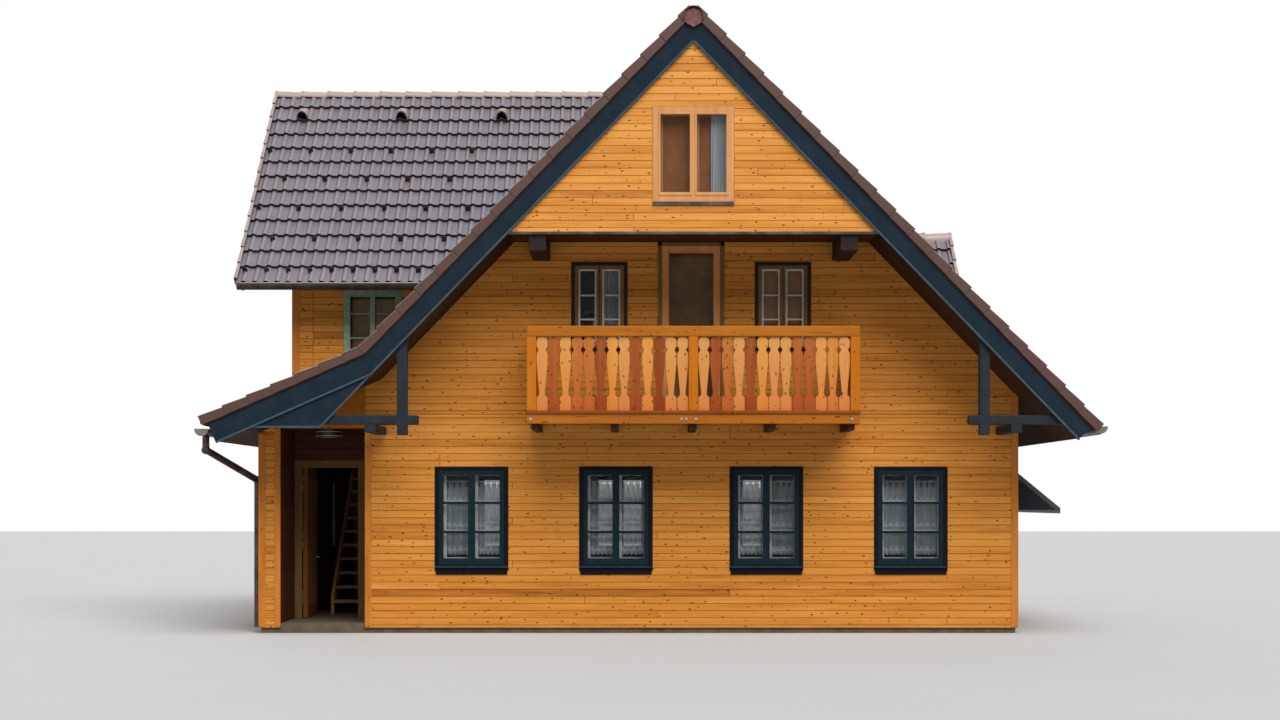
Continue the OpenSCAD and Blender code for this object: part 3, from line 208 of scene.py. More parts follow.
# %% Finish builder
class Finish:
    """A material that is built up node by node."""

    def __init__(self, name):
        self.material = bpy.data.materials.new(name)
        self.material.use_nodes = True
        self.tree = self.material.node_tree
        self.tree.nodes.clear()

    def node(self, *parts, **more):
        return add_node(self.tree, *parts, **more)

    def spot(self):
        return self.node("ShaderNodeTexCoord", output="Object")

    def face_value(self, name):
        """A number that each face carries."""
        return self.node("ShaderNodeAttribute", {"attribute_name": name}, output=2)

    def noise(self, vector, scale=1.0, detail=3.0, roughness=0.5):
        values = {"Vector": vector, "Scale": scale, "Detail": detail, "Roughness": roughness}
        return self.node("ShaderNodeTexNoise", values=values)

    def ramp(self, factor, *stops):
        return self.node("ShaderNodeValToRGB", {"stops": stops}, {"Fac": factor})

    def mix(self, factor, first, second, blend="MIX"):
        settings = {"data_type": "RGBA", "blend_type": blend}
        return self.node("ShaderNodeMix", settings, {0: factor, 6: first, 7: second}, 2)

    def surface(self, colour, rough, relief=None, **constants):
        """The Principled shader. Relief is a height, its strength and its distance."""
        values = {"Base Color": colour, "Roughness": rough}
        values.update({name.replace("_", " "): value for name, value in constants.items()})
        if relief:
            sockets = dict(zip(("Height", "Strength", "Distance"), relief))
            values["Normal"] = self.node("ShaderNodeBump", values=sockets)
        shader = self.node("ShaderNodeBsdfPrincipled", values=values)
        self.node("ShaderNodeOutputMaterial", values={"Surface": shader})
        return self.material


print("finish builder ready")

# %% [markdown]
# Sawn spruce is golden where the sun has reached it and redder where it has aged. Each board gets a
# tone of its own from a face attribute, written when the boards are cut. Grain is noise stretched
# along the board, and knots are the middles of a few Voronoi cells. X + Y runs along every wall,
# front or side, so one finish serves them all. The gable has a lighter copy of the boards' finish,
# painted light for the gable, which stands out of the eaves' shade.

# %% Timber finishes
def timber(name, light, middle, dark, along="wall", knots=0.8, toned=True, stops=()):
    """Boards or beams: along is wall, x, y or z, the way that the grain runs."""
    finish = Finish(name)
    x = finish.node("ShaderNodeSeparateXYZ", values={"Vector": finish.spot()})
    y, z = x.other(1), x.other(2)
    ways = {"wall": (x + y, z, x * 0.0), "x": (x, z, y), "y": (y, z, x), "z": (z, x, y)}
    length, across, other = ways[along]
    tone = finish.face_value("board_tone") if toned else finish.noise(finish.spot(), 0.35, 1) * 0.5 + 0.3

    def stretched(grain, cross, vary):
        values = {"X": length * grain, "Y": across * cross + other * cross, "Z": tone * vary}
        return finish.noise(finish.node("ShaderNodeCombineXYZ", values=values), detail=2)

    streaks = stretched(2.5, 85, 40)
    clouds = stretched(0.9, 14, 23)
    values = {"X": length * 6 + tone * 50, "Y": across * 10.2 + other * 10.2}
    cells = finish.node("ShaderNodeCombineXYZ", values=values)
    values = {"Vector": cells, "Scale": 1.0}
    middle_of_cell = finish.node("ShaderNodeTexVoronoi", {"voronoi_dimensions": "2D"}, values, "Distance")
    chance = finish.node("ShaderNodeSeparateColor", values={"Color": middle_of_cell.other("Color")})
    knot = (middle_of_cell < 0.03 + chance * 0.115) * (chance < knots)
    dark = paint(*dark)
    if stops:
        colour = finish.ramp(tone + clouds * 0.25 + streaks * 0.12 - 0.17, *stops)
        lower = (3.7 - z) * 0.8 + clouds * 0.3
        colour = finish.mix(lower, colour, finish.mix(0.6, colour, paint(236, 130, 24), "MULTIPLY"))
    else:
        shade = tone * 0.62 + clouds * 0.5 + streaks * 0.3 - 0.2
        colour = finish.ramp(shade, (0.12, dark), (0.48, paint(*middle)), (0.86, paint(*light)))
    burnt = tuple(value * 0.32 for value in dark[:3]) + (1,)
    colour = finish.mix(knot * 0.75, colour, burnt)
    relief = (streaks - knot * 0.6, 0.35, 0.003)
    return finish.surface(colour, 0.5 + streaks * 0.2, relief, Specular_IOR_Level=0.12)


def beam(name, light, middle, dark, along="z", knots=0.0):
    """Timber for pieces that carry no tone of their own."""
    return timber(name, light, middle, dark, along, knots, False)


boards_finish = timber("boards", (230, 162, 78), (200, 128, 49), (130, 64, 24))
# A lighter copy of the boards' finish: painted light for the gable, out of the eaves' shade.
gable_painted_light_boards = timber("gable_boards_painted_light", (240, 174, 94), (213, 141, 62), (142, 76, 32))
# Roof undersides: dark brown boards, darkened further as painted shade under the eaves.
soffit_boards_and_shade = beam("roof_boards_and_painted_shade", (66, 42, 30), (48, 30, 22), (30, 19, 14), "y", 0.3)
beams_x = beam("beams_along_x", (188, 114, 32), (162, 92, 24), (118, 59, 14), "x", 0.8)
ledge_finish = beam("ledge_timber", (144, 84, 30), (122, 66, 22), (88, 44, 14), "x", 0.8)
rail_finish = beam("rail_timber", (186, 116, 32), (164, 95, 23), (122, 62, 14), "x", 0.8)
# The balcony deck and its joists: dark brown, darkened further as painted shade under the balcony.
deck_timber_and_shade = beam("deck_timber_and_painted_shade", (72, 44, 26), (54, 32, 20), (36, 22, 14), "x", 0.3)
corner_finish = beam("corner_boards_timber", (212, 138, 60), (188, 114, 44), (140, 74, 30), "z", 0.5)
# The porch's walls and ceiling and the attic floor: the same boards, darker as painted shade.
porch_painted_shade_boards = beam("porch_boards_painted_shade", (92, 50, 30), (70, 36, 22), (46, 24, 16), "wall", 0.5)
# Purlin ends under the gable: near-black, painted shade.
purlin_painted_shade_timber = beam("purlin_ends", (50, 41, 36), (36, 30, 27), (22, 18, 16), "y", 0.2)
beams_z = beam("beams_upright", (200, 120, 24), (180, 100, 17), (134, 65, 12), "z", 0.8)
larch = beam("larch_frames", (222, 166, 108), (200, 141, 90), (160, 100, 58))
brown_frames = beam("brown_frames", (142, 106, 62), (112, 82, 46), (76, 54, 30))
door_frames = beam("door_frames", (226, 160, 98), (202, 134, 76), (152, 92, 50))
upper_casing = beam("upper_window_casings", (54, 38, 28), (38, 26, 20), (22, 15, 12))
door_finish = beam("entrance_leaf_boards", (150, 98, 56), (120, 74, 40), (84, 48, 26), "z", 0.1)
inside_finish = beam("inside_panels", (214, 178, 130), (196, 156, 108), (160, 118, 76), "wall", 0.3)
floor_finish = beam("floor_boards", (196, 152, 100), (170, 124, 78), (128, 86, 50), "x", 0.2)
print("timber finishes:", len(bpy.data.materials))

# %% [markdown]
# The other finishes: blue-grey painted boards at the verges, fired roof tiles whose grey-lilac is a
# painted reflection of the sky, brown gutter metal, stone-coloured render at the plinth and painted
# frames.

# %% Painted, fired and metal finishes
def painted(name, colour, wear, rough, scale, metallic=0.0, bump=0.15):
    """Paint or coated metal with clouds of dust and a little grain."""
    finish = Finish(name)
    clouds = finish.noise(finish.spot(), scale, 4, 0.6)
    specks = finish.noise(finish.spot(), scale * 14, 2)
    mask = finish.ramp(clouds, (0.42, (0, 0, 0, 1)), (0.72, (1, 1, 1, 1)))
    tint = finish.mix(mask, paint(*colour), paint(*wear))
    rough = rough - 0.1 + clouds * 0.2
    return finish.surface(tint, rough, (specks, bump, 0.002), Metallic=metallic, Specular_IOR_Level=0.08)


def tile_finish(name, pale, middle, dark):
    """Fired tiles: tone by tile from the attribute, grey-lilac tops that paint the sky's reflection, pinker
    rolls, and dark brown at the ends and along a roll's flank, partly clay and partly painted shade.
    """
    finish = Finish(name)
    roll = finish.face_value("tile_roll")
    clouds = finish.noise(finish.spot(), 5, 4, 0.65)
    specks = finish.noise(finish.spot(), 90, 2)
    shade = finish.face_value("tile_tone") * 0.4 + clouds * 0.5 + specks * 0.12 + roll * 0.22 - 0.1
    top = finish.ramp(shade, (0.15, paint(*middle)), (0.75, paint(*pale)))
    top = finish.mix(roll * 0.45, top, paint(142, 124, 120))
    colour = finish.mix(finish.face_value("tile_edge"), top, paint(*dark))
    return finish.surface(colour, 0.3 + clouds * 0.2, (specks, 0.2, 0.003))


verge_paint = painted("verge_paint", (22, 36, 47), (30, 44, 55), 0.6, 5.0)
bracket_paint = painted("bracket_paint", (34, 42, 50), (46, 50, 54), 0.6, 6.0)
lip_paint = painted("lip_paint", (58, 74, 86), (74, 88, 98), 0.5, 12.0)
window_paint = painted("ground_window_paint", (17, 34, 43), (24, 42, 51), 0.5, 14.0)
window_lining = painted("ground_window_casing_paint", (9, 13, 19), (15, 20, 27), 0.55, 14.0)
sill_paint = painted("sill_edge_paint", (34, 50, 60), (46, 62, 72), 0.5, 12.0)
wing_paint = painted("wing_window_paint", (124, 148, 124), (150, 165, 145), 0.45, 14.0)
white_paint = painted("white_sash_paint", (222, 222, 216), (200, 199, 192), 0.4, 12.0)
pale_grey = painted("pale_grey_sash", (206, 204, 198), (186, 184, 178), 0.5, 12.0)
gutter_metal = painted("gutter_metal", (74, 64, 60), (104, 92, 86), 0.38, 7.0, 0.7)
bead_metal = painted("gutter_bead_metal", (134, 128, 126), (112, 104, 100), 0.35, 7.0, 0.6)
cap_metal = painted("gutter_cap_metal", (128, 122, 117), (108, 102, 98), 0.4, 9.0, 0.3)
flashing_metal = painted("flashing_metal", (70, 66, 64), (98, 92, 88), 0.4, 5.0, 0.7)
canopy_metal = painted("canopy_sheet", (78, 78, 79), (86, 86, 86), 0.42, 2.0, 0.4)
steel = painted("brushed_fittings", (168, 168, 166), (140, 140, 138), 0.32, 20.0, 0.9)
plinth_render = painted("plinth_render", (104, 92, 76), (84, 74, 62), 0.85, 7.0, bump=0.6)
snow_metal = painted("snow_guard_metal", (66, 54, 50), (92, 78, 72), 0.45, 9.0, 0.5)
# Near-black: painted shade in the vents' mouths, and the finish of the eave combs.
black_and_painted_shade = painted("black_and_opening_shade", (14, 12, 12), (20, 17, 16), 0.9, 8.0)
disc_clay = painted("disc_clay", (112, 74, 70), (130, 95, 89), 0.6, 18.0)
# The grey-lilac stops paint the sky's reflection on the tiles.
tile_glaze_and_sky_reflection = tile_finish("roof_tiles", (116, 113, 124), (90, 86, 94), (34, 18, 14))
verge_glaze = tile_finish("verge_tiles", (170, 152, 148), (134, 116, 112), (72, 44, 34))
ground_tint = painted("studio_floor_paint", (186, 187, 189), (185, 186, 188), 0.85, 0.3, bump=0.02)
floor.data.materials.append(ground_tint)
print("materials so far:", len(bpy.data.materials))

# %% [markdown]
# Most pieces start as a primitive or as a copy of a CAD node whose loose triangles are merged first.
# An operator works on everything that is selected, so each helper deselects all before it starts.

# %% Selecting and editing
def deselect():
    """Object mode with nothing selected."""
    if bpy.context.mode != "OBJECT":
        bpy.ops.object.mode_set(mode="OBJECT")
    bpy.ops.object.select_all(action="DESELECT")


def only(piece):
    """Selects one object and makes it the active one."""
    deselect()
    piece.select_set(True)
    bpy.context.view_layer.objects.active = piece


def edit(piece, mode="FACE"):
    """Opens a piece in edit mode with nothing selected."""
    only(piece)
    bpy.ops.object.mode_set(mode="EDIT")
    bpy.ops.mesh.select_mode(type=mode)
    bpy.ops.mesh.select_all(action="DESELECT")


def close():
    bpy.ops.object.mode_set(mode="OBJECT")


def centre(face):
    return face.calc_center_median()


def pick(piece, test):
    """In edit mode, selects the faces that pass a test and nothing else."""
    bpy.ops.mesh.select_all(action="DESELECT")
    mesh = bmesh.from_edit_mesh(piece.data)
    for face in mesh.faces:
        if test(face):
            face.select_set(True)
    bmesh.update_edit_mesh(piece.data)


def extrude(*way):
    bpy.ops.mesh.extrude_region_move(TRANSFORM_OT_translate={"value": way})


def slice_at(axis, value):
    """Cuts all of the open mesh along a plane square to an axis."""
    bpy.ops.mesh.select_all(action="SELECT")
    bpy.ops.mesh.bisect(plane_co=along(axis, value), plane_no=along(axis, 1))


def trim(piece, test):
    """Deletes the faces that pass a test."""
    edit(piece)
    pick(piece, test)
    bpy.ops.mesh.delete(type="FACE")
    close()


def along(axis, value):
    """A point or a way on one axis."""
    return tuple(value if name == axis else 0 for name in "xyz")


def above(axis, value):
    """A plane for cut() that removes what lies above a value on an axis."""
    return along(axis, value), along(axis, 1)


def below(axis, value):
    return along(axis, value), along(axis, -1)


def cut(piece, point, normal):
    """Removes what lies on the normal's side of a plane."""
    edit(piece)
    bpy.ops.mesh.select_all(action="SELECT")
    bpy.ops.mesh.bisect(plane_co=point, plane_no=normal, use_fill=True, clear_outer=True)
    close()


def apply(piece, kind, **settings):
    """Adds a modifier, sets it and applies it."""
    only(piece)
    modifier = piece.modifiers.new(kind.lower(), kind)
    for name, value in settings.items():
        setattr(modifier, name, value)
    bpy.ops.object.modifier_apply(modifier=modifier.name)
    return piece


def bevel(piece, width, segments=1, **settings):
    return apply(piece, "BEVEL", width=width, segments=segments, limit_method="ANGLE", **settings)


def thicken(piece, thickness, degrees):
    """Gives a sheet its thickness, inwards, and smooths what is flatter than an angle."""
    apply(piece, "SOLIDIFY", thickness=thickness, offset=-1.0)
    bpy.ops.object.shade_smooth_by_angle(angle=math.radians(degrees))
    return piece


def repeat(piece, step, count):
    offset = {"use_relative_offset": False, "use_constant_offset": True, "constant_offset_displace": step}
    return apply(piece, "ARRAY", count=count, **offset)


print("editing helpers ready")

# %% [markdown]
# A second set of helpers makes, copies and joins pieces, and gives them their finish and their place
# in the frame. Numbers written on the faces reach the shaders as attributes.

# %% Making and finishing pieces
def block(name, low, high, width=0.004):
    """A box between two corners, its place in its mesh, its edges eased by a width or left sharp."""
    deselect()
    middle = [(a + b) / 2 for a, b in zip(low, high)]
    bpy.ops.mesh.primitive_cube_add(size=1, location=middle)
    piece = bpy.context.active_object
    piece.name = name
    piece.scale = [b - a for a, b in zip(low, high)]
    bpy.ops.object.transform_apply(location=True, rotation=True, scale=True)
    return bevel(piece, width) if width else piece


def drum(name, vertices, radius, depth, spot=(0, 0, 0), turn=(QUARTER, 0, 0), ends="NGON"):
    """A cylinder about Y, unless it is turned another way."""
    deselect()
    bpy.ops.mesh.primitive_cylinder_add(
        vertices=vertices, radius=radius, depth=depth, location=spot, end_fill_type=ends
    )
    piece = bpy.context.active_object
    piece.name = name
    piece.rotation_euler = turn
    bpy.ops.object.transform_apply(location=True, rotation=True, scale=True)
    return piece


def grid(name, columns, rows):
    """A sheet one metre square about the origin."""
    deselect()
    bpy.ops.mesh.primitive_grid_add(x_subdivisions=columns, y_subdivisions=rows, size=1)
    piece = bpy.context.active_object
    piece.name = name
    return piece


def joined(name, pieces):
    """Several pieces as one object."""
    only(pieces[0])
    for piece in pieces:
        piece.select_set(True)
    if len(pieces) > 1:
        bpy.ops.object.join()
    pieces[0].name = name
    pieces[0].data.name = name
    return pieces[0]


def spread(pattern, name, places):
    """Copies of a pattern, each with its own mesh and moved by a matrix, joined into one piece."""
    copies = []
    for place in places:
        made = bpy.data.objects.new(name, pattern.data.copy())
        bpy.context.scene.collection.objects.link(made)
        made.data.transform(place)
        if place.determinant() < 0:
            made.data.flip_normals()
        copies.append(made)
    bpy.data.objects.remove(pattern)
    return joined(name, copies)


def cad_copy(node, name):
    """A copy of a CAD node, its triangles merged into flat faces."""
    made = bpy.data.objects.new(name, nodes[node].data.copy())
    bpy.context.scene.collection.objects.link(made)
    edit(made)
    bpy.ops.mesh.select_all(action="SELECT")
    bpy.ops.mesh.remove_doubles(threshold=0.0002)
    bpy.ops.mesh.dissolve_limited(angle_limit=math.radians(0.5))
    close()
    bpy.ops.mesh.customdata_custom_splitnormals_clear()
    bpy.ops.object.shade_flat()
    return made


def settle(piece, finish, body="house", instead_of=()):
    """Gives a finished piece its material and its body."""
    if finish is not None:
        piece.data.materials.clear()
        piece.data.materials.append(finish)
    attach(piece, body)
    if instead_of:
        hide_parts(*instead_of)
    return piece


def partly(piece, finish, test):
    """Gives the faces that pass a test a second finish."""
    piece.data.materials.append(finish)
    for polygon in piece.data.polygons:
        polygon.material_index = 1 if test(polygon) else 0


def mark_faces(piece, name, value_of):
    """Writes a number on each face."""
    attribute = piece.data.attributes.new(name, "FLOAT", "FACE")
    for polygon, value in zip(piece.data.polygons, attribute.data):
        value.value = value_of(polygon)


print("making helpers ready")

# %% [markdown]
# The walls are clad in horizontal boards 95 mm wide with a fine V groove between them. One way is
# hundreds of separate boards. Here each wall is a copy of its CAD node, so the window holes come
# with it: the outer face is bisected at every course and at a few butt joints, the cuts are marked
# as seams, everything else is dissolved back to one face per board, and each face is then inset and
# raised 8 mm. The rim of the inset is the chamfer that makes the groove, and its faces get a darker
# tone, painted shade in the groove.

# %% Boarded walls
PITCH = 0.095
FIRST_COURSE = 0.0137


def course_at(height):
    return math.floor((height - FIRST_COURSE) / PITCH)


def cut_boards(wall, axis, place, rng):
    """Cuts an outer face into raised boards. Returns each course's butt joint and boards' tones."""
    side = 1 if place > 0 else -1
    length = 1 - axis

    def outside(face):
        return face.normal[axis] * side > 0.99 and abs(centre(face)[axis] - place) < 0.002

    def board(face):
        if not outside(face) or face.calc_area() < 0.003:
            return False
        heights = [vert.co[2] for vert in face.verts]
        lengths = [vert.co[length] for vert in face.verts]
        return max(heights) - min(heights) > 0.02 and max(lengths) - min(lengths) > 0.03

    def corners_of(test):
        mesh = bmesh.from_edit_mesh(wall.data)
        return [vert.co.copy() for face in mesh.faces if test(face) for vert in face.verts]

    def seam(test, point, normal):
        pick(wall, test)
        bpy.ops.mesh.bisect(plane_co=point, plane_no=normal)
        bpy.ops.mesh.mark_seam(clear=False)

    corners = corners_of(outside)
    heights = [corner[2] for corner in corners]
    first, last = course_at(min(heights)), course_at(max(heights))
    left = min(corner[length] for corner in corners)
    right = max(corner[length] for corner in corners)
    for course in range(first + 1, last + 1):
        seam(outside, (0, 0, FIRST_COURSE + course * PITCH), (0, 0, 1))
    stations = [left + (right - left) * step / 9 + 0.031 for step in range(1, 9)]
    joints = {}
    for course in range(first, last + 1):
        station = stations[rng.randrange(8)]
        joints[course] = station if right - left > 2.2 and rng.random() < 0.6 else None
    for station in stations:

        def jointed(face):
            return outside(face) and joints.get(course_at(centre(face)[2])) == station

        spans = [corner[length] for corner in corners_of(jointed)]
        if spans and min(spans) + 0.05 < station < max(spans) - 0.05:
            seam(jointed, *above("xy"[length], station))
    pick(wall, outside)
    bpy.ops.mesh.dissolve_limited(angle_limit=math.radians(0.5), delimit={"SEAM"})
    pick(wall, board)
    bpy.ops.mesh.inset(thickness=0.004, depth=0.008, use_individual=True)
    tones = {}
    for course, joint in joints.items():
        for cell in range(1 if joint is None else 2):
            tone = rng.gauss(0.56, 0.09) - (0.13 if rng.random() < 0.06 else 0)
            tones[course, cell] = min(max(tone, 0.0), 1.0)
    return joints, tones


def lay_boards(node, planes, seed, finish=boards_finish, inner=inside_finish):
    """Replaces a CAD wall by a copy with boards on its outer planes: (axis, place)."""
    wall = cad_copy(node, node + "_boards")
    rng = random.Random(seed)
    edit(wall, "EDGE")
    clad = [(axis, place, *cut_boards(wall, axis, place, rng)) for axis, place in planes]
    bpy.ops.mesh.select_all(action="SELECT")
    bpy.ops.mesh.mark_seam(clear=True)
    close()
    wall.data.materials.clear()
    wall.data.materials.append(inner)
    wall.data.materials.append(finish)

    def dress(polygon):
        """Gives an outer polygon the boards' finish, and returns its tone, darker on a groove's chamfer as
        painted shade.
        """
        spot = polygon.center
        for axis, place, joints, tones in clad:
            side = 1 if place > 0 else -1
            proud = spot[axis] * side > place * side + 0.0005
            if proud or (polygon.normal[axis] * side > 0.9 and abs(spot[axis] - place) < 0.0005):
                polygon.material_index = 1
                course = course_at(spot[2])
                joint = joints.get(course)
                cell = 1 if joint is not None and spot[1 - axis] > joint else 0
                # A groove's chamfer gets a darker tone: painted shade in the V groove.
                groove = 0.38 if abs(polygon.normal[axis]) < 0.9 else 0
                return tones.get((course, cell), 0.5) - groove
        return 0.5

    mark_faces(wall, "board_tone", dress)
    settle(wall, None, instead_of=(node,))
    print(node, "boards:", len(wall.data.polygons), "faces")


lay_boards("front_wall_ground", [(1, -FRONT), (0, -SIDE), (0, SIDE)], 11)
lay_boards("front_wall_upper", [(1, -FRONT)], 12)
lay_boards("back_wall_ground", [(1, FRONT), (0, -ANNEX), (0, SIDE)], 13)
lay_boards("back_wall_upper", [(1, FRONT)], 14)
lay_boards("right_wall", [(0, SIDE)], 15)
lay_boards("left_wall", [(0, -SIDE)], 17, finish=porch_painted_shade_boards)
lay_boards("annex_wall", [(0, -ANNEX), (1, -FRONT)], 16, inner=porch_painted_shade_boards)
lay_boards("wing_gable_wall", [(0, -WING_END), (1, -WING_SIDE), (1, WING_SIDE)], 18)
lay_boards("door_wall_side", [(1, -WING_SIDE)], 22, finish=porch_painted_shade_boards)
lay_boards("door_wall_top", [(1, -WING_SIDE)], 23, finish=porch_painted_shade_boards)
lay_boards("wing_walls", [(1, -WING_SIDE), (1, WING_SIDE)], 19)
lay_boards("gable_panels", [(1, -GABLE), (1, GABLE)], 20, finish=gable_painted_light_boards)
lay_boards("dormer_walls", [(0, DORMER_FACE), (1, -DORMER_SIDE), (1, DORMER_SIDE)], 21)

# %% [markdown]
# The roofs are laid with fired double-roll tiles, 0.30 m wide and about 0.34 m apart up the slope.
# One tile is modelled: a strip whose columns follow two rolls, raised a little at its lower end so
# that it laps over the tile below, and thickened by Solidify. Arrays lay it across and up a slope,
# and bisect trims the field along the valleys. Each tile gets its own tone, and its ends and the
# flank of each roll a mark for dark brown: at the ends it is the clay that shows there, darkened
# further as painted shade, and along the flank it is painted shade.

# %% Roof slopes
MAIN_RISE = 1.03553
FLARE_RISE = 0.43897
WING_RISE = 1.06489
MAIN = (8.09, MAIN_RISE)
FLARE = (5.5671, FLARE_RISE)
WING = (7.98, WING_RISE)
DORMER = (5.8496, MAIN_RISE)


def bed(roof, run, depth=0.085):
    """Height of a roof at a depth below the verge tiles' tops, at a run from its ridge."""
    ridge, rise = roof
    return ridge - depth * math.hypot(1, rise) - rise * run


class Slope:
    """One roof slope: a corner of its tile bed at the eave, the way down, and its tiles' size."""

    def __init__(self, roof, x, y, down, cell, course):
        self.cell = cell
        self.course = course
        way = Vector((*down, 0))
        self.uphill = Vector((-way.x, -way.y, roof[1])).normalized()
        self.normal = (way * roof[1] + Vector((0, 0, 1))).normalized()
        across = self.uphill.cross(self.normal)
        self.axes = Matrix((across, self.uphill, self.normal)).transposed().to_4x4()
        self.matrix = self.at((x, y, bed(roof, abs(x) if down[0] else abs(y))))

    def at(self, point):
        """The matrix that sets a piece on the slope at a point."""
        return Matrix.Translation(point) @ self.axes


CELL = 8.8 / 29
right_slope = Slope(MAIN, 5.19, -4.4, (1, 0), CELL, 0.343)
left_slope = Slope(MAIN, -4.245, 4.4, (-1, 0), CELL, 0.343)
flare_slope = Slope(FLARE, -6.285, 4.4, (-1, 0), CELL, 0.33)
wing_front = Slope(WING, -6.145, -2.98, (0, -1), 0.3, 0.3345)
wing_back = Slope(WING, 0.155, 2.98, (0, 1), 0.3, 0.3345)
dormer_front = Slope(DORMER, 2.17, -1.165, (0, -1), 0.3, 0.335)
dormer_back = Slope(DORMER, 3.97, 1.165, (0, 1), 0.3, 0.335)
print("right slope faces", tuple(round(value, 2) for value in right_slope.normal))

# %% One tile and a field of them
LAP = 0.07
# One roll and its flat trough: part of half a tile's width, and height above the bed
ROLL = ((0.0, 0.004), (0.48, 0.004), (0.57, 0.022), (0.70, 0.031), (0.86, 0.021), (1.0, 0.004))


def one_tile(cell, course):
    """A tile in its own frame: X across, Y up the slope, Z off the roof."""
    tile = grid("tile_pattern", 10, 1)
    for vert in tile.data.vertices:
        column = round((vert.co.x + 0.5) * 10)
        half, step = divmod(column, 5)
        part, height = ROLL[step]
        up = (vert.co.y + 0.5) * (course + LAP)
        lift = 0.04 * (1 - up / course) + (0.004 if column == 10 else 0)
        vert.co = ((half + part) / 2 * (cell + 0.007), up, height + lift)
    return thicken(tile, 0.027, 42)


def nowhere(polygon):
    return 0.0


def mark_tiles(tiles, count, seed, vary, edge_of, roll_of=nowhere):
    """Writes a tone for each tile, a mark for its dark ends (clay and painted shade) and one for its rolls,
    before it is turned or cut.
    """
    rng = random.Random(seed)
    size = len(tiles.data.polygons) // count
    values = [min(max(rng.gauss(0.5, vary), 0), 1) for _ in range(count)]
    mark_faces(tiles, "tile_tone", lambda polygon: values[min(polygon.index // size, count - 1)])
    mark_faces(tiles, "tile_edge", edge_of)
    mark_faces(tiles, "tile_roll", roll_of)


def tile_field(slope, columns, rows, cuts, seed):
    """Tiles of a slope from one column and row to another, trimmed by planes."""

    def part_of(polygon):
        return (polygon.center.x / slope.cell * 2) % 1.0

    def edge(polygon):
        # The roll's left flank gets most of the dark brown: painted shade along each roll.
        if 0.48 < part_of(polygon) < 0.57:
            return 0.75
        return 1.0 if polygon.normal.y < -0.6 or abs(polygon.normal.x) > 0.9 else 0.0

    def roll(polygon):
        return 1.0 if 0.57 < part_of(polygon) < 0.88 else 0.0

    field = one_tile(slope.cell, slope.course)
    field.data.transform(Matrix.Translation((columns[0] * slope.cell, rows[0] * slope.course, 0)))
    repeat(field, (slope.cell, 0, 0), columns[1] - columns[0])
    repeat(field, (0, slope.course, 0), rows[1] - rows[0])
    mark_tiles(field, (columns[1] - columns[0]) * (rows[1] - rows[0]), seed, 0.1, edge, roll)
    field.data.transform(slope.matrix)
    for plane in cuts:
        cut(field, *plane)
    return field


def lay_tiles(name, *fields):
    """Lays the fields of one roof and marks the cut edges as sharp."""
    roof = joined(name, [tile_field(*field) for field in fields])
    bpy.ops.object.shade_smooth_by_angle(angle=math.radians(42))
    settle(roof, tile_glaze_and_sky_reflection)
    print(name, len(roof.data.polygons), "faces")


print("tile", round(CELL, 3), "m wide, laps", LAP, "m")

# %% [markdown]
# A field is a rectangle of whole tiles: its columns, its rows and the planes that trim it. Where a
# dormer or a wing stands in a slope, the slope is laid in several fields, so that no plane has to cut
# through tiles that stay. The right slope has one field on each side of the dormer, two that meet its
# valleys, one above it and one at the eave below its window.

# %% Tiles on the right slope and the dormer
CHEEK = 0.98
DORMER_VALLEY = (2.163, 0, 0)
lay_tiles(
    "right_tiles",
    (right_slope, (0, 12), (0, 13), [above("y", -CHEEK)], 31),
    (right_slope, (17, 29), (0, 13), [below("y", CHEEK)], 32),
    (right_slope, (11, 15), (7, 13), [below("y", -CHEEK), above("y", 0), (DORMER_VALLEY, (1, 1, 0))], 33),
    (right_slope, (14, 18), (7, 13), [below("y", 0), above("y", CHEEK), (DORMER_VALLEY, (1, -1, 0))], 34),
    (right_slope, (0, 29), (13, 22), [below("x", 0.02)], 38),
    (right_slope, (11, 18), (0, 7), [below("y", -CHEEK), above("y", CHEEK), below("x", 3.62)], 35),
)
lay_tiles(
    "dormer_tiles",
    (dormer_front, (0, 6), (0, 5), [(DORMER_VALLEY, (-1, -1, 0)), above("y", -0.02)], 36),
    (dormer_back, (0, 6), (0, 5), [(DORMER_VALLEY, (-1, 1, 0)), below("y", 0.02)], 37),
)

# %% [markdown]
# The left slope ends in a flatter skirt, the flare, which has tiles of its own below the kink. The
# wing's roof meets the slope in two valleys. The planes that more than one field needs get a name.

# %% Tiles on the left slope, its flare and the wing
INSET = 2.37
WING_VALLEY = (-0.108, 0, 0)
SLANT = 1.0284
ridge_line = above("x", -0.02)
kink_line = above("x", -4.2)
before = above("y", -INSET)
behind = below("y", INSET)
front_half = [ridge_line, above("y", 0), below("y", -INSET), (WING_VALLEY, (-1, SLANT, 0))]
back_half = [ridge_line, below("y", 0), above("y", INSET), (WING_VALLEY, (-1, -SLANT, 0))]
lay_tiles(
    "left_tiles",
    (left_slope, (22, 29), (0, 18), [ridge_line, before], 41),
    (left_slope, (0, 7), (0, 18), [ridge_line, behind], 42),
    (left_slope, (14, 23), (6, 18), front_half, 43),
    (left_slope, (6, 15), (6, 18), back_half, 44),
    (flare_slope, (22, 29), (0, 7), [kink_line, before], 45),
    (flare_slope, (0, 7), (0, 7), [kink_line, behind], 46),
    (flare_slope, (6, 23), (0, 3), [below("y", -INSET), above("y", INSET), above("x", -5.49)], 47),
)
lay_tiles(
    "wing_tiles",
    (wing_front, (0, 21), (0, 13), [(WING_VALLEY, (1, -SLANT, 0)), above("y", -0.02)], 51),
    (wing_back, (0, 21), (0, 13), [(WING_VALLEY, (1, SLANT, 0)), below("y", 0.02)], 52),
)

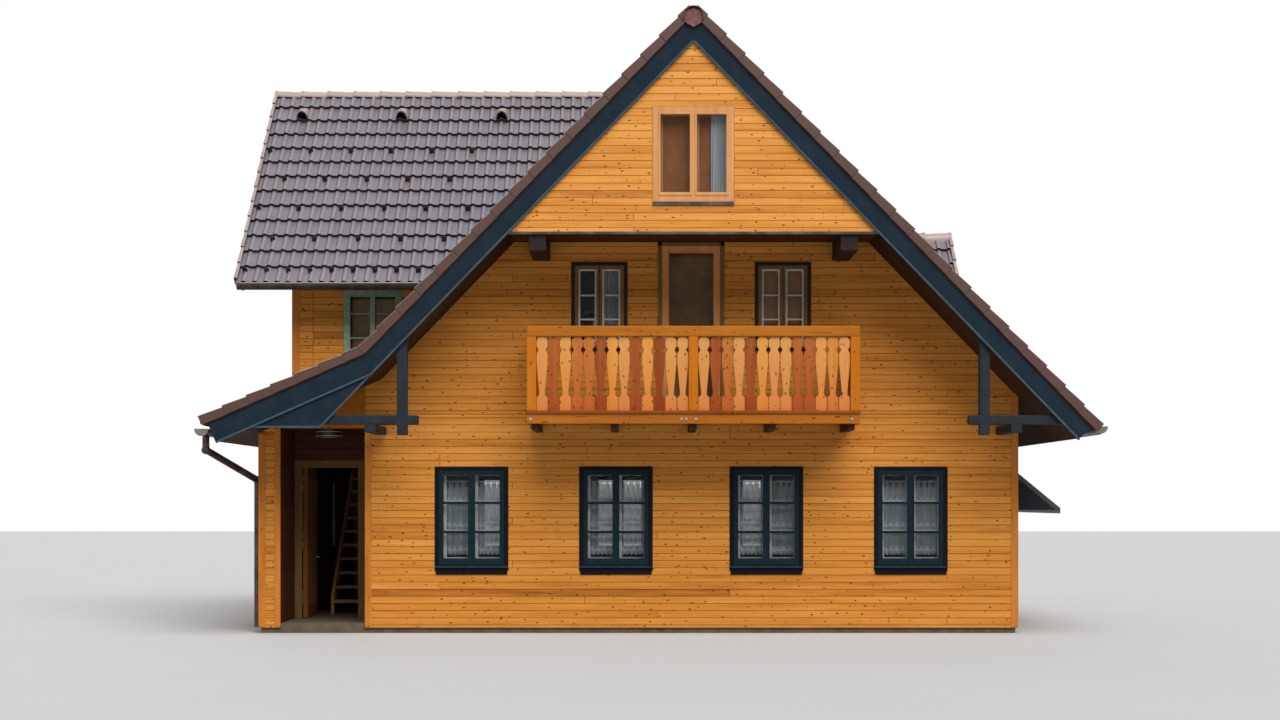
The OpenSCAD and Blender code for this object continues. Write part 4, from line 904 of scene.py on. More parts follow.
# %% [markdown]
# At each verge the roof ends in L-shaped tiles: a plate on the roof and a side that hangs down over
# the verge board. Each one is wider at its lower end and laps over the next, which gives the stepped
# line that runs up both sides of the gable. One is shaped from a box and arrayed up each slope.

# %% Verge tiles
def tile_row(tile, pitch, count, seed, vary, edge_of, matrix, plane):
    """Arrays a tile along its Y, marks its faces, puts the row in place and cuts its far end."""
    repeat(tile, (0, pitch, 0), count)
    mark_tiles(tile, count, seed, vary, edge_of)
    tile.data.transform(matrix)
    if matrix.determinant() < 0:
        tile.data.flip_normals()
    cut(tile, *plane)
    return tile


def one_verge_tile(pitch, width, hang):
    """X runs inwards from the outer edge, Y up the slope, Z off the roof."""
    tile = block("verge_tile_pattern", (-0.012, 0, 0.002), (width, pitch + 0.05, 0.014), 0)
    edit(tile)
    slice_at("x", 0)
    pick(tile, lambda face: face.normal.z < -0.9 and centre(face).x < 0)
    extrude(0, 0, -hang)
    close()
    for vert in tile.data.vertices:
        low = 1 - vert.co.y / pitch
        vert.co.z += 0.022 * low
        if vert.co.x < 0.01:
            vert.co.x -= 0.008 * low
        if vert.co.z < -0.03:
            vert.co.z -= 0.016 * low
    return bevel(tile, 0.005, 2)


def verge_run(start, inward, uphill, pitch, count, plane, seed, hang=0.1, width=0.158):
    """A row of verge tiles from its lowest outer corner up the slope."""
    inward = Vector(inward)
    uphill = Vector(uphill).normalized()
    off = inward.cross(uphill)
    axes = Matrix((inward, uphill, -off if off.z < 0 else off)).transposed().to_4x4()
    matrix = Matrix.Translation(start) @ axes

    # The top and the eased arris over the side take the pale colour, a painted highlight along each tile's
    # upper edge.
    def edge_of(polygon):
        return 0.0 if polygon.normal.z > 0.15 else 1.0

    tile = one_verge_tile(pitch, width, hang)
    return tile_row(tile, pitch, count, seed, 0.2, edge_of, matrix, plane)


verge_runs = []
for side in (-1, 1):
    edge = side * 4.522
    inward = (0, -side, 0)
    ridge_plane = (along("y", side * 0.04), inward)
    right_end = (5.195, edge, bed(MAIN, 5.195, 0))
    left_end = (-4.25, edge, bed(MAIN, 4.25, 0))
    flare_end = (-6.29, edge, bed(FLARE, 6.29, 0))
    wing_end = (-6.15, side * 2.985, bed(WING, 2.985, 0.035))
    dormer_end = (3.985, side * 1.17, bed(DORMER, 1.17, 0.035))
    up_wing = (0, -side, WING_RISE)
    up_dormer = (0, -side, MAIN_RISE)
    verge_runs += [
        verge_run(right_end, inward, (-1, 0, MAIN_RISE), 0.345, 22, below("x", 0.05), 61),
        verge_run(left_end, inward, (1, 0, MAIN_RISE), 0.345, 18, above("x", -0.05), 62),
        verge_run(flare_end, inward, (1, 0, FLARE_RISE), 0.333, 7, kink_line, 63),
        verge_run(wing_end, (1, 0, 0), up_wing, 0.3345, 13, ridge_plane, 64, 0.1, 0.03),
        verge_run(dormer_end, (-1, 0, 0), up_dormer, 0.335, 5, ridge_plane, 65, 0.08, 0.03),
    ]
verge_tiles = settle(joined("verge_tiles", verge_runs), verge_glaze)
print("verge tiles:", len(verge_tiles.data.polygons), "faces")

# %% [markdown]
# Half-round caps close the ridges. Each is a tapered half pipe with a collar at its wide end, which
# laps over the narrow end of the next. A cap starts as a cylinder whose lower half is deleted; its
# open edges are extruded down between the rolls. A hexagonal disc closes each end of the main ridge.

# %% Ridge caps
CAP_PITCH = 0.392
COLLAR = 0.035


def one_cap(radius, legs):
    """A cap along Y, its wide end at Y 0, its top at Z 0."""
    length = CAP_PITCH + 0.03
    cap = drum("cap_pattern", 20, radius, length, (0, length / 2, -radius - 0.003), ends="NOTHING")
    trim(cap, lambda face: centre(face).z < -radius - 0.004)
    edit(cap, "EDGE")
    mesh = bmesh.from_edit_mesh(cap.data)
    for side in mesh.edges:
        way = side.verts[0].co - side.verts[1].co
        side.select_set(side.is_boundary and abs(way.z) < 1e-4 and abs(way.y) > 0.1)
    bmesh.update_edit_mesh(cap.data)
    extrude(0, 0, -legs)
    slice_at("y", COLLAR)
    bpy.ops.mesh.select_mode(type="FACE")
    pick(cap, lambda face: centre(face).y < COLLAR)
    bpy.ops.mesh.extrude_region_shrink_fatten(TRANSFORM_OT_shrink_fatten={"value": 0.007})
    close()
    for vert in cap.data.vertices:
        low = 1 - vert.co.y / CAP_PITCH
        vert.co.z += 0.016 * low
        vert.co.x *= 1 + 0.05 * low
    return thicken(cap, 0.01, 35)


def ridge(start, way, count, plane, seed, radius=0.112, legs=0.06):
    """A row of caps from a ridge's end, cut at a plane."""
    up = Vector((0, 0, 1))
    way = Vector(way)
    matrix = Matrix.Translation(start) @ Matrix((way.cross(up), way, up)).transposed().to_4x4()

    # The ends and undersides of a cap are dark brown: clay, darkened further as painted shade.
    def edge(polygon):
        return 1.0 if polygon.normal.y < -0.6 or polygon.normal.z < -0.3 else 0.0

    return tile_row(one_cap(radius, legs), CAP_PITCH, count, seed, 0.15, edge, matrix, plane)


def end_disc(side):
    """The hexagonal clay disc under the last cap, its back against the verge."""
    disc = drum("disc", 6, 0.124, 0.03, (0, side * 4.535, 7.905))
    edit(disc)
    pick(disc, lambda face: face.normal.y * side > 0.9)
    bpy.ops.mesh.inset(thickness=0.014, depth=-0.005)
    close()
    return bevel(disc, 0.003, 2)


caps = [
    ridge((0, -4.575, 8.029), (0, 1, 0), 12, above("y", 0.1), 71),
    ridge((0, 4.575, 8.029), (0, -1, 0), 12, below("y", 0.1), 72),
    ridge((-6.165, 0, 7.912), (1, 0, 0), 16, above("x", -0.06), 73, 0.085, 0.01),
    ridge((4.0, 0, 5.782), (-1, 0, 0), 5, below("x", 2.05), 74),
]
ridge_tiles = settle(joined("ridge_tiles", caps), verge_glaze, instead_of=("ridge_caps",))
settle(joined("ridge_discs", [end_disc(-1), end_disc(1)]), disc_clay)
print("ridge caps:", len(ridge_tiles.data.polygons), "faces")

# %% [markdown]
# Two small things break the wing's even courses: arched vent tiles in the second course, and snow
# guards, bent metal lugs that stand in the troughs of every other course and of each tile at the
# eave. Both are modelled once and copied to their places on the slope. Their columns are the ones
# where the photograph shows them on the front, and the back has the same.

# %% Vents and snow guards
VENT_COLUMNS = (303, 402, 502)
GUARD_COLUMNS = {
    8: (271, 311.5, 351.5, 391.5, 432, 472),
    6: (285.5, 325.5, 367.5, 408, 450),
    4: (259.5, 299.5, 342, 385, 426, 468),
    2: (273.5, 315, 359, 401, 444.5),
    0: tuple(246 + 21.6 * step for step in range(10)),
}


def wing_point(column, row, part, front):
    """A point of the wing's bed above a picture column, at a part of a course from the eave."""
    run = 2.98 - (row + part) * wing_front.course * wing_front.uphill.y
    scale = FOCAL / (-EYE[1] - run)
    return Vector(((column - PICTURE_WIDTH / 2) / scale + EYE[0], front * run, bed(WING, run)))


hood = drum("vent_pattern", 16, 0.075, 0.26, ends="NOTHING")
trim(hood, lambda face: centre(face).z < -0.001)
for vert in hood.data.vertices:
    up = vert.co.y + 0.13
    vert.co.z = vert.co.z * (1.5 - up * 4.6) + 0.02
    vert.co.x *= 1.0 - up * 0.7
    vert.co.y = up
thicken(hood, 0.012, 40)
# The mouth is a near-black box, painted shade inside the vent.
mouth = block("mouth_pattern", (-0.058, 0.03, 0.01), (0.058, 0.045, 0.085), 0.003)

lug = block("lug_pattern", (-0.034, -0.03, 0.0), (0.034, 0.075, 0.01), 0)
edit(lug)
pick(lug, lambda face: face.normal.y < -0.9)
extrude(0, -0.008, 0)
pick(lug, lambda face: face.normal.z > 0.9 and centre(face).y < -0.03)
extrude(0, 0, 0.075)
close()
bevel(lug, 0.002)

vent_places = []
guard_places = []
for front, slope in ((-1, wing_front), (1, wing_back)):
    for column in VENT_COLUMNS:
        matrix = slope.at(wing_point(column, 11, 0.02, front))
        vent_places.append(matrix @ Matrix.Diagonal((1.25, 1, 1.6, 1)))
    for row, columns in GUARD_COLUMNS.items():
        for column in columns:
            point = wing_point(column, row, 0.8, front)
            guard_places.append(slope.at(point + wing_front.normal * 0.012))
vent_tiles = spread(hood, "vent_tiles", vent_places)
mark_faces(vent_tiles, "tile_tone", lambda polygon: 0.6)
settle(vent_tiles, verge_glaze)
settle(spread(mouth, "vent_mouths", vent_places), black_and_painted_shade)
settle(spread(lug, "snow_guards", guard_places), snow_metal)
print("vents:", len(vent_places), "snow guards:", len(guard_places))

# %% [markdown]
# Every window sits in a CAD frame. Blender adds what is finer: an outer sash that laps over the
# frame, glazing bars in front of the glass, and a pale inner sash behind it, as in a box window.
# A ring of four mitred bars starts as a box whose front and back are inset and bridged. One window
# is built at the origin, in a wall that runs back along +Y, and copied to its place.

# %% Sash rings and window kits
def ring(name, low, high, left, right, bottom, top):
    """A frame between two corners, with the widths of its four sides."""
    piece = block(name, low, high, 0)
    edit(piece)
    pick(piece, lambda face: abs(face.normal.y) > 0.9)
    bpy.ops.mesh.inset(thickness=0.02, use_individual=True)
    mesh = bmesh.from_edit_mesh(piece.data)
    middle = ((low[0] + high[0]) / 2, (low[2] + high[2]) / 2)
    for face in mesh.faces:
        if not face.select:
            continue
        for vert in face.verts:
            vert.co.x = low[0] + left if vert.co.x < middle[0] else high[0] - right
            vert.co.z = low[2] + bottom if vert.co.z < middle[1] else high[2] - top
    bmesh.update_edit_mesh(piece.data)
    bpy.ops.mesh.bridge_edge_loops()
    bpy.ops.mesh.select_all(action="SELECT")
    bpy.ops.mesh.normals_make_consistent(inside=False)
    close()
    return bevel(piece, 0.003)


def window_kit(width, low, high, bottom_rail, bars=(), lap=0.014, pale_front=False):
    """Sash, bars and pale sash of a two-light window, as two pieces at the origin."""
    post, face = 0.07, 0.09
    base, head = low + face, high - face
    sash = lap if pale_front else lap + 0.01
    stile = min(lap, 0.03) if pale_front else sash
    outer = []
    inner = []
    for side in (-1, 1):
        near, far = side * post / 2, side * (width / 2 - face)
        left, right = sorted((near, far))
        first, last = sorted((near - side * min(lap, 0.03), far + side * lap))
        sides = (stile, sash) if side > 0 else (sash, stile)
        box = ((first, -0.023, base - lap), (last, 0.03, head + lap))
        outer.append(ring("sash", *box, *sides, sash + bottom_rail, sash))
        for bar in bars:
            level = base + bottom_rail + (head - base - bottom_rail) * (1 - bar)
            if pale_front:
                inner.append(block("bar", (left, 0.018, level - 0.012), (right, 0.06, level + 0.012), 0.003))
                continue
            outer.append(block("bar", (left, -0.006, level - 0.017), (right, 0.04, level + 0.017), 0.003))
            inner.append(block("pale_bar", (left, 0.112, level), (right, 0.13, level + 0.028), 0.002))
        if pale_front:
            box = ((left, 0.012, base + bottom_rail - 0.01), (right, 0.062, head))
            widths = (0.028, 0.028, 0.034, 0.028)
        else:
            box = ((left - 0.005, 0.105, base + bottom_rail - 0.03), (right + 0.005, 0.135, head + 0.005))
            widths = (0.048, 0.018, 0.048, 0.018)
        inner.append(ring("pale_sash", *box, *widths))
    return joined("kit_outer", outer), joined("kit_inner", inner)


def turn_to(x, y, degrees):
    """The matrix that moves a window from the origin into its wall."""
    return Matrix.Translation((x, y, 0)) @ Matrix.Rotation(math.radians(degrees), 4, "Z")


def hang_windows(name, kit, places, outer_finish, inner_finish):
    """Copies a window kit to its places, as one outer and one inner piece."""
    for pattern, part, finish in ((kit[0], "sashes", outer_finish), (kit[1], "inner_sashes", inner_finish)):
        piece = settle(spread(pattern, name + "_" + part, places), finish)
        print(piece.name, len(piece.data.polygons), "faces")


ground_places = []
for x in (-2.92, -1.0, 1.0, 2.92):
    ground_places += [turn_to(x, -FRONT, 0), turn_to(x, FRONT, 180)]
for y in (-1.45, 1.45):
    ground_places += [turn_to(SIDE, y, 90), turn_to(-ANNEX, y, -90)]
upper_places = []
for x in (-1.22, 1.22):
    upper_places += [turn_to(x, -FRONT, 0), turn_to(x, FRONT, 180), turn_to(-WING_END, x, -90)]
front_left, front_right = upper_places[0], upper_places[3]
upper_places.append(turn_to(0, FRONT, 180))
attic_places = [turn_to(0, -GABLE, 0), turn_to(0, GABLE, 180)]
dormer_place = turn_to(DORMER_FACE, 0, 90)

ground_kit = window_kit(0.95, 0.83, 2.20, 0.065, (0.336, 0.681))
hang_windows("ground", ground_kit, ground_places, window_paint, white_paint)
upper_kit = window_kit(0.745, 3.75, 4.935, 0.03, (0.36, 0.69), 0.042, True)
hang_windows("upper", upper_kit, upper_places, brown_frames, pale_grey)
hang_windows("attic", window_kit(1.04, 5.571, 6.784, 0.02), attic_places, larch, larch)
dormer_kit = window_kit(0.84, 4.30, 4.92, 0.02)
hang_windows("dormer", dormer_kit, [dormer_place], wing_paint, white_paint)

# %% [markdown]
# The panes are nearly clear with a grey cast. A faint mirror of the surroundings comes from the
# shader, and the low alpha lets the lace and the dark rooms show through.

# %% Glass and window casings
def glass_finish():
    finish = Finish("window_glass")
    waves = finish.noise(finish.spot(), 2.2, 2)
    tint = finish.mix(waves, paint(26, 32, 36), paint(36, 42, 46))
    return finish.surface(tint, 0.04 + waves * 0.03, Alpha=0.16)


def finish_node(name, finish):
    """Gives a CAD node that keeps its mesh a finish in all of its slots."""
    for slot in nodes[name].material_slots:
        slot.material = finish


finish_node("window_glass", glass_finish())

flashings = bevel(cad_copy("flashings", "sills_and_flashings"), 0.003)
settle(flashings, flashing_metal, instead_of=("flashings",))
partly(flashings, window_lining, lambda polygon: polygon.center.z < 1.0)
casing = ring("casing", (-0.489, -0.02, 0.83), (0.489, -0.001, 2.214), 0.058, 0.058, 0.036, 0.05)
settle(spread(casing, "ground_casings", ground_places), window_lining)
sill = block("sill", (-0.485, -0.05, 0.868), (0.485, 0.002, 0.892))
settle(spread(sill, "ground_sills", ground_places), sill_paint)
print("casings and sills:", len(ground_places))

# %% [markdown]
# The lace curtains are cloth, so each is a thin sheet, cut wider than the window and gathered into
# folds. The sheet is a grid whose points follow a wave, deeper towards the hem, and the hem's lower
# edge runs in scallops. The lace pattern is drawn on the sheet's own UV map: fine threads, three
# bands of pointed leaves and notches along the head. Long streaks of noise mix a shade and a light
# colour: painted shade of the folds.

# %% Lace curtains
def lace_finish(name, light, shade, band=True):
    finish = Finish(name)
    flat = finish.node("ShaderNodeUVMap", {"uv_map": "cloth"})
    across = finish.node("ShaderNodeSeparateXYZ", values={"Vector": flat})
    up = across.other(1)

    def stretched(*scale):
        return finish.noise(finish.node("ShaderNodeMapping", values={"Vector": flat, "Scale": scale}), 1, 2)

    threads = stretched(220, 60, 1)
    folds = stretched(14, 0.6, 1)
    cover = folds * 0.2 + threads * 0.12 + (0.42 if band else 0.75)
    if band:
        wave = across.combine("PINGPONG", across, 0.045)
        for level in (0.055, 0.40, 0.75):
            leaf = (up > level) * (up < level + 0.075 - wave * 1.4)
            cover = cover + leaf * 0.3
        notch = (up > 0.955) * (wave < 0.012)
        cover = cover * (1 - notch)
    # Painted shade of the folds: the streaks mix the shade and light colours.
    tint = finish.mix(folds, paint(*shade), paint(*light))
    return finish.surface(tint, 0.85, (threads, 0.2, 0.001), Alpha=cover)


def curtain(name, place, width, low, high, fullness, depth, scallop, seed, folds):
    """A gathered sheet that hangs at a depth behind the wall's face."""
    rng = random.Random(seed)
    sheet = grid(name, folds * 8, 14)
    starts = [rng.uniform(-0.5, 0.5) for _ in range(folds + 2)]
    height = high - low
    amplitude = width / folds * math.sqrt(max(fullness**2 - 1, 0.01)) / 4
    for vert in sheet.data.vertices:
        part = vert.co.x + 0.5
        level = vert.co.y + 0.5
        fold = part * folds
        shift = starts[int(fold)] * (1 - fold % 1) + starts[int(fold) + 1] * (fold % 1)
        wave = math.sin(2 * math.pi * fold + shift * (1.2 - level))
        deep = amplitude * (0.75 + 0.5 * (1 - level))
        hem = scallop * abs(math.sin(math.pi * part * width / 0.056)) if level < 0.04 else 0
        across = -width / 2 + part * width + 0.004 * shift
        vert.co = (across, depth + deep * wave, low + height * level + scallop - hem)
    layer = sheet.data.uv_layers.new(name="cloth")
    for loop in sheet.data.loops:
        spot = sheet.data.vertices[loop.vertex_index].co
        layer.data[loop.index].uv = (spot.x * fullness, (spot.z - low) / height)
    sheet.data.transform(place)
    only(sheet)
    bpy.ops.object.shade_smooth()
    return sheet


lace = lace_finish("window_lace", (206, 220, 228), (158, 174, 184))
plain_curtain = lace_finish("plain_curtain", (206, 212, 218), (140, 150, 160), False)
curtains = []


def hang(sheet, finish, drop, node):
    """Gives a curtain its finish and body, and lists it with its area."""
    settle(sheet, finish)
    area = sum(polygon.area for polygon in sheet.data.polygons)
    area / drop
    curtains.append((sheet.name, round(area, 3)))


for number, place in enumerate(ground_places):
    shape = {"width": 0.76, "low": 1.035, "high": 1.985, "fullness": 1.1, "depth": 0.165, "scallop": 0.028}
    sheet = curtain(f"ground_curtain_{number}", place, seed=80 + number, folds=9, **shape)
    hang(sheet, lace, 0.95, "ground_window_frames")
rod = block("rod", (-0.39, 0.158, 2.015), (0.39, 0.172, 2.027), 0.003)
settle(spread(rod, "curtain_rods", ground_places), white_paint)
print("curtains:", len(curtains), curtains[0])

# %% [markdown]
# Upstairs the windows have slatted blinds and plain curtains. A blind is one slat, a thin board with
# eased edges that is tipped and arrayed downwards, under a head rail.

# %% Blinds and plain curtains
SLAT_PITCH = 0.021


def slat_blind(name, width, low, high, depth, place, finish):
    """Tipped slats under a head rail, at a depth behind the wall's face."""
    slat = block("slat", (-width / 2, -0.012, -0.001), (width / 2, 0.012, 0.001), 0.0008)
    slat.data.transform(Matrix.Rotation(math.radians(68), 4, "X"))
    repeat(slat, (0, 0, -SLAT_PITCH), int((high - low) / SLAT_PITCH))
    slat.data.transform(Matrix.Translation((0, depth, high)))
    rail = block("rail", (-width / 2, depth - 0.014, high + 0.01), (width / 2, depth + 0.014, high + 0.03))
    blind = joined(name, [slat, rail])
    blind.data.transform(place)
    settle(blind, finish)


wing_places = [turn_to(WING_WINDOW, -WING_SIDE, 0), turn_to(WING_WINDOW, WING_SIDE, 180)]
beige_slats = painted("beige_slats", (216, 152, 84), (196, 132, 70), 0.5, 6.0)
olive_slats = painted("olive_slats", (156, 112, 42), (130, 90, 28), 0.5, 6.0)
attic_slats = painted("attic_slats", (168, 108, 52), (140, 86, 38), 0.5, 6.0)
brown_slats = painted("brown_slats", (236, 180, 100), (212, 156, 84), 0.5, 6.0)
sand_slats = painted("sand_slats", (178, 150, 108), (150, 124, 84), 0.5, 6.0)
slat_blind("right_window_blind", 0.62, 3.80, 4.86, 0.13, front_right, beige_slats)
slat_blind("balcony_door_blind", 0.64, 2.98, 5.06, 0.16, turn_to(0, -FRONT, 0), olive_slats)
slat_blind("attic_blind", 0.9, 5.62, 6.70, 0.14, attic_places[0], attic_slats)
slat_blind("wing_blind_front", 0.64, 3.75, 4.56, 0.31, wing_places[0], brown_slats)
slat_blind("wing_blind_back", 0.64, 3.75, 4.56, 0.31, wing_places[1], brown_slats)
slat_blind("dormer_blind", 0.66, 4.38, 4.84, 0.13, dormer_place, sand_slats)
for number, place in enumerate(upper_places):
    if place == front_right:
        continue
    width, shift = (0.31, 0.17) if place == front_left else (0.66, 0.0)
    place = place @ Matrix.Translation((shift, 0, 0))
    shape = {"width": width, "low": 3.8, "high": 4.86, "fullness": 1.3, "depth": 0.15, "scallop": 0}
    sheet = curtain(f"upper_curtain_{number}", place, seed=60 + number, folds=6, **shape)
    hang(sheet, plain_curtain, 1.06, "upper_window_frames")
for number, (shift, width) in enumerate(((0.33, 0.2), (0.0, 0.86))):
    place = attic_places[number] @ Matrix.Translation((shift, 0, 0))
    shape = {"width": width, "low": 5.66, "high": 6.72, "fullness": 1.4, "depth": 0.10, "scallop": 0}
    sheet = curtain(f"attic_curtain_{number}", place, seed=90 + number, folds=5, **shape)
    hang(sheet, plain_curtain, 1.06, "attic_window_frames")
print("all curtains:", len(curtains))

# %% [markdown]
# The wing's two windows have thin bars, and the balcony door has a moulding round its frame and a
# pale inner bead at the glass.

# %% Wing window bars and balcony door mouldings
wing_bars = []
for level, middle in ((4.348, -0.175), (4.348, 0.175), (4.01, -0.175)):
    low, high = (middle - 0.142, -0.004, level - 0.011), (middle + 0.142, 0.06, level + 0.011)
    wing_bars.append(block("wing_bar", low, high, 0.003))
mirrored = Matrix.Translation((WING_WINDOW, WING_SIDE, 0)) @ Matrix.Diagonal((1, -1, 1, 1))
bars = spread(joined("wing_bar_pattern", wing_bars), "wing_window_bars", [wing_places[0], mirrored])
settle(bars, wing_paint)

moulding = [
    block("mould", (left, -3.428, low), (right, -3.412, 5.195))
    for left, right, low in ((-0.44, -0.386, 2.915), (0.386, 0.44, 2.915), (-0.44, 0.44, 5.145))
]
settle(joined("door_moulding", moulding), brown_frames)
bead_ring = ring("door_bead", (-0.315, -3.424, 3.02), (0.315, -3.345, 5.075), 0.02, 0.02, 0.02, 0.02)
settle(bead_ring, door_frames)
print("mouldings:", len(moulding))

# %% [markdown]
# Timbers that keep their CAD shape still need eased edges, since planed wood has no sharp arris.
# Each such node is copied, its flat faces are merged and its edges are bevelled. The balusters also
# get a tone each: pale, yellow and reddish boards stand side by side on the balcony. The ledge that
# carries them is darker than its beam.

# %% Eased timbers
def eased(node, name, finish, width=0.005, segments=2):
    return settle(bevel(cad_copy(node, name), width, segments), finish, instead_of=(node,))


BALUSTER_STOPS = (
    (0.05, paint(208, 148, 84)),
    (0.25, paint(214, 150, 68)),
    (0.5, paint(184, 112, 50)),
    (0.75, paint(164, 90, 42)),
    (0.95, paint(136, 68, 28)),
)
sawn_finish = timber("sawn_balusters", None, None, (120, 66, 28), "z", stops=BALUSTER_STOPS)
LEFT_BAY = (0.0, 0.75, 0.15, 0.5, 0.5, 0.85, 0.25, 0.05, 0.8, 0.15, 0.95, 0.1, 0.0)
RIGHT_BAY = (0.0, 0.85, 0.5, 0.0, 0.85, 0.2, 0.05, 0.0, 0.7, 0.7, 0.1, 0.35, 0.0)
BALUSTER_PITCH = 1.945 / 13
SIDE_PITCH = 0.138


def front_tone(polygon):
    x = polygon.center.x
    row, start = (RIGHT_BAY, 0.06) if x > 0 else (LEFT_BAY, -2.005)
    return row[min(max(int((x - start) / BALUSTER_PITCH), 0), 12)]


def side_tone(polygon):
    place = int((polygon.center.y + 4.35) / SIDE_PITCH)
    return LEFT_BAY[(place * 3 + (2 if polygon.center.x > 0 else 0)) % 13]


front_row = eased("front_balusters", "front_baluster_boards", sawn_finish, 0.002, 1)
mark_faces(front_row, "board_tone", front_tone)
side_rows = eased("side_balusters", "side_baluster_boards", sawn_finish, 0.002, 1)
mark_faces(side_rows, "board_tone", side_tone)
eased("balcony_rails", "handrails", rail_finish, 0.014, 3)
eased("balcony_posts", "rail_posts", beams_z, 0.006)
floor_beams = eased("balcony_beams", "floor_beams", beams_x)
partly(floor_beams, ledge_finish, lambda polygon: polygon.center.z > 2.865)
eased("balcony_floor", "balcony_deck", deck_timber_and_shade, 0.003, 1)
eased("bracket_frames", "bracket_timbers", bracket_paint, 0.009, 3)
purlin_ends = eased("purlins", "purlin_timbers", purlin_painted_shade_timber, 0.006)
partly(purlin_ends, bracket_paint, lambda polygon: polygon.center.z < 3.6 and abs(polygon.center.y) > 3.45)
print("eased timbers:", len(front_row.data.polygons), "faces on the balusters")

# %% [markdown]
# Galvanised coach bolts hold the balcony's beams. Each is a washer and a domed head.

# %% Bolts of the balcony
washer = drum("washer", 12, 0.017, 0.005, (0, -0.0015, 0))
head = bevel(drum("head", 12, 0.010, 0.012, (0, -0.008, 0)), 0.004, 2)
bolt_places = [Matrix.Translation((x, -GABLE, 2.80)) for x in (-2.075, -0.15, -0.09, 0.032, 2.02)]
bolts = spread(joined("bolt_pattern", [washer, head]), "coach_bolts", bolt_places)
settle(bolts, steel)
print("bolts:", len(bolt_places))

# %% [markdown]
# The porch and the entrance. The leaf is boarded on both faces: its faces are cut into upright
# strips, and each strip is inset and pushed in at the rim, which leaves a V groove between boards.
# The lamp is a flush drum with a dark housing and a pale ring.

# %% Entrance
LEAF_START = -2.234
LEAF_BOARD = 0.8 / 7
LAMP = (-4.8975, -2.88, 2.673)
LAMP_RADIUS = 0.157
LAMP_BANDS = ((2.634, 2.646), (2.69, 2.702))


def broad(face):
    return abs(face.normal.x) > 0.99 and face.calc_area() > 0.05


leaf = cad_copy("entrance_leaf", "entrance_leaf_boards")
edit(leaf)
cuts = [("y", LEAF_START + step * LEAF_BOARD) for step in range(1, 7)]
for axis, value in cuts + [("z", 0.32), ("z", 1.18), ("z", 2.06)]:
    pick(leaf, broad)
    bpy.ops.mesh.bisect(plane_co=along(axis, value), plane_no=along(axis, 1))
pick(leaf, lambda face: broad(face) and 0.35 < centre(face).z < 2.05)
bpy.ops.mesh.inset(thickness=0.004, depth=-0.005, use_individual=True)
close()
settle(leaf, door_finish, "entrance_door", ("entrance_leaf",))
eased("entrance_frame", "entrance_posts", brown_frames, 0.004)
eased("porch_lintel", "lintel_beam", rail_finish)


def in_band(face):
    return abs(face.normal.z) < 0.5 and any(low < centre(face).z < high for low, high in LAMP_BANDS)


lamp = drum("porch_lamp_drum", 40, LAMP_RADIUS, 0.108, LAMP, turn=(0, 0, 0))
edit(lamp)
for band in LAMP_BANDS:
    for level in band:
        slice_at("z", level)
pick(lamp, in_band)
bpy.ops.mesh.extrude_region_shrink_fatten(TRANSFORM_OT_shrink_fatten={"value": 0.003})
pick(lamp, lambda face: face.normal.z < -0.9)
bpy.ops.mesh.inset(thickness=0.03, depth=-0.004)
close()
settle(bevel(lamp, 0.004, 2), gutter_metal, instead_of=("porch_lamp",))


def pale(polygon):
    out = math.hypot(polygon.center.x - LAMP[0], polygon.center.y - LAMP[1])
    return out > LAMP_RADIUS + 0.0005 or (polygon.normal.z < -0.5 and out < 0.125)


partly(lamp, white_paint, pale)
print("lamp:", len(lamp.data.polygons), "faces")

# %% [markdown]
# Trim that is too fine for the CAD solids: upright boards at the corners, and the thin folded lip
# along the lower edges of the verge and infill boards. A lip is one long box with eased edges,
# turned to the slope of its edge.

# %% Corner boards and lips
def corner_board(x, y, side, low, high, width=0.082, wrap=True):
    """An upright board at a corner: side is the way that the wall runs on from it."""
    face = 1 if y > 0 else -1

    def board(first, second, near, far):
        (left, right), (front, back) = sorted((first, second)), sorted((near, far))
        return block("corner", (left, front, low), (right, back, high), 0.003)

    outer = x - side * 0.014 if wrap else x
    boards = [board(outer, x + side * width, y + face * 0.016, y - face * 0.002)]
    if wrap:
        boards.append(board(outer, x + side * 0.002, y, y - face * width))
    return boards


FOOT = 0.085
PORCH_LEFT = -5.46
PORCH_HEAD = 2.72
corners = []
for side in (-1, 1):
    corners += corner_board(SIDE, side * FRONT, -1, FOOT, 3.2)
    corners += corner_board(-ANNEX, side * FRONT, 1, FOOT, 2.66)
    corners += corner_board(-WING_END, side * WING_SIDE, 1, 3.36, 4.93, 0.09)
corners += corner_board(-SIDE, -FRONT, 1, FOOT, PORCH_HEAD, wrap=False)
corners += corner_board(PORCH_LEFT, -FRONT, -1, FOOT, PORCH_HEAD, wrap=False)
settle(joined("corner_boards", corners), corner_finish)


LIP_WIDTH = 0.026
LIP_PROUD = 0.012


def lip(start, end, y):
    """A thin strip along a line in X and Z, its outer face proud of the board at y."""
    side = 1 if y > 0 else -1
    way = Vector((end[0] - start[0], 0, end[1] - start[1]))
    front, back = sorted((y + side * LIP_PROUD, y - side * 0.004))
    strip = block("lip", (0, front, 0), (way.length, back, LIP_WIDTH), 0.003)
    turn = Matrix.Rotation(-math.atan2(way.z, way.x), 4, "Y")
    strip.data.transform(Matrix.Translation((start[0], 0, start[1])) @ turn)
    return strip


def main_low(x):
    """A point on the lower edge of the main verge board."""
    return x, bed(MAIN, abs(x), 0.336) - 0.004


def flare_low(x):
    return x, bed(FLARE, abs(x), 0.371) - 0.004


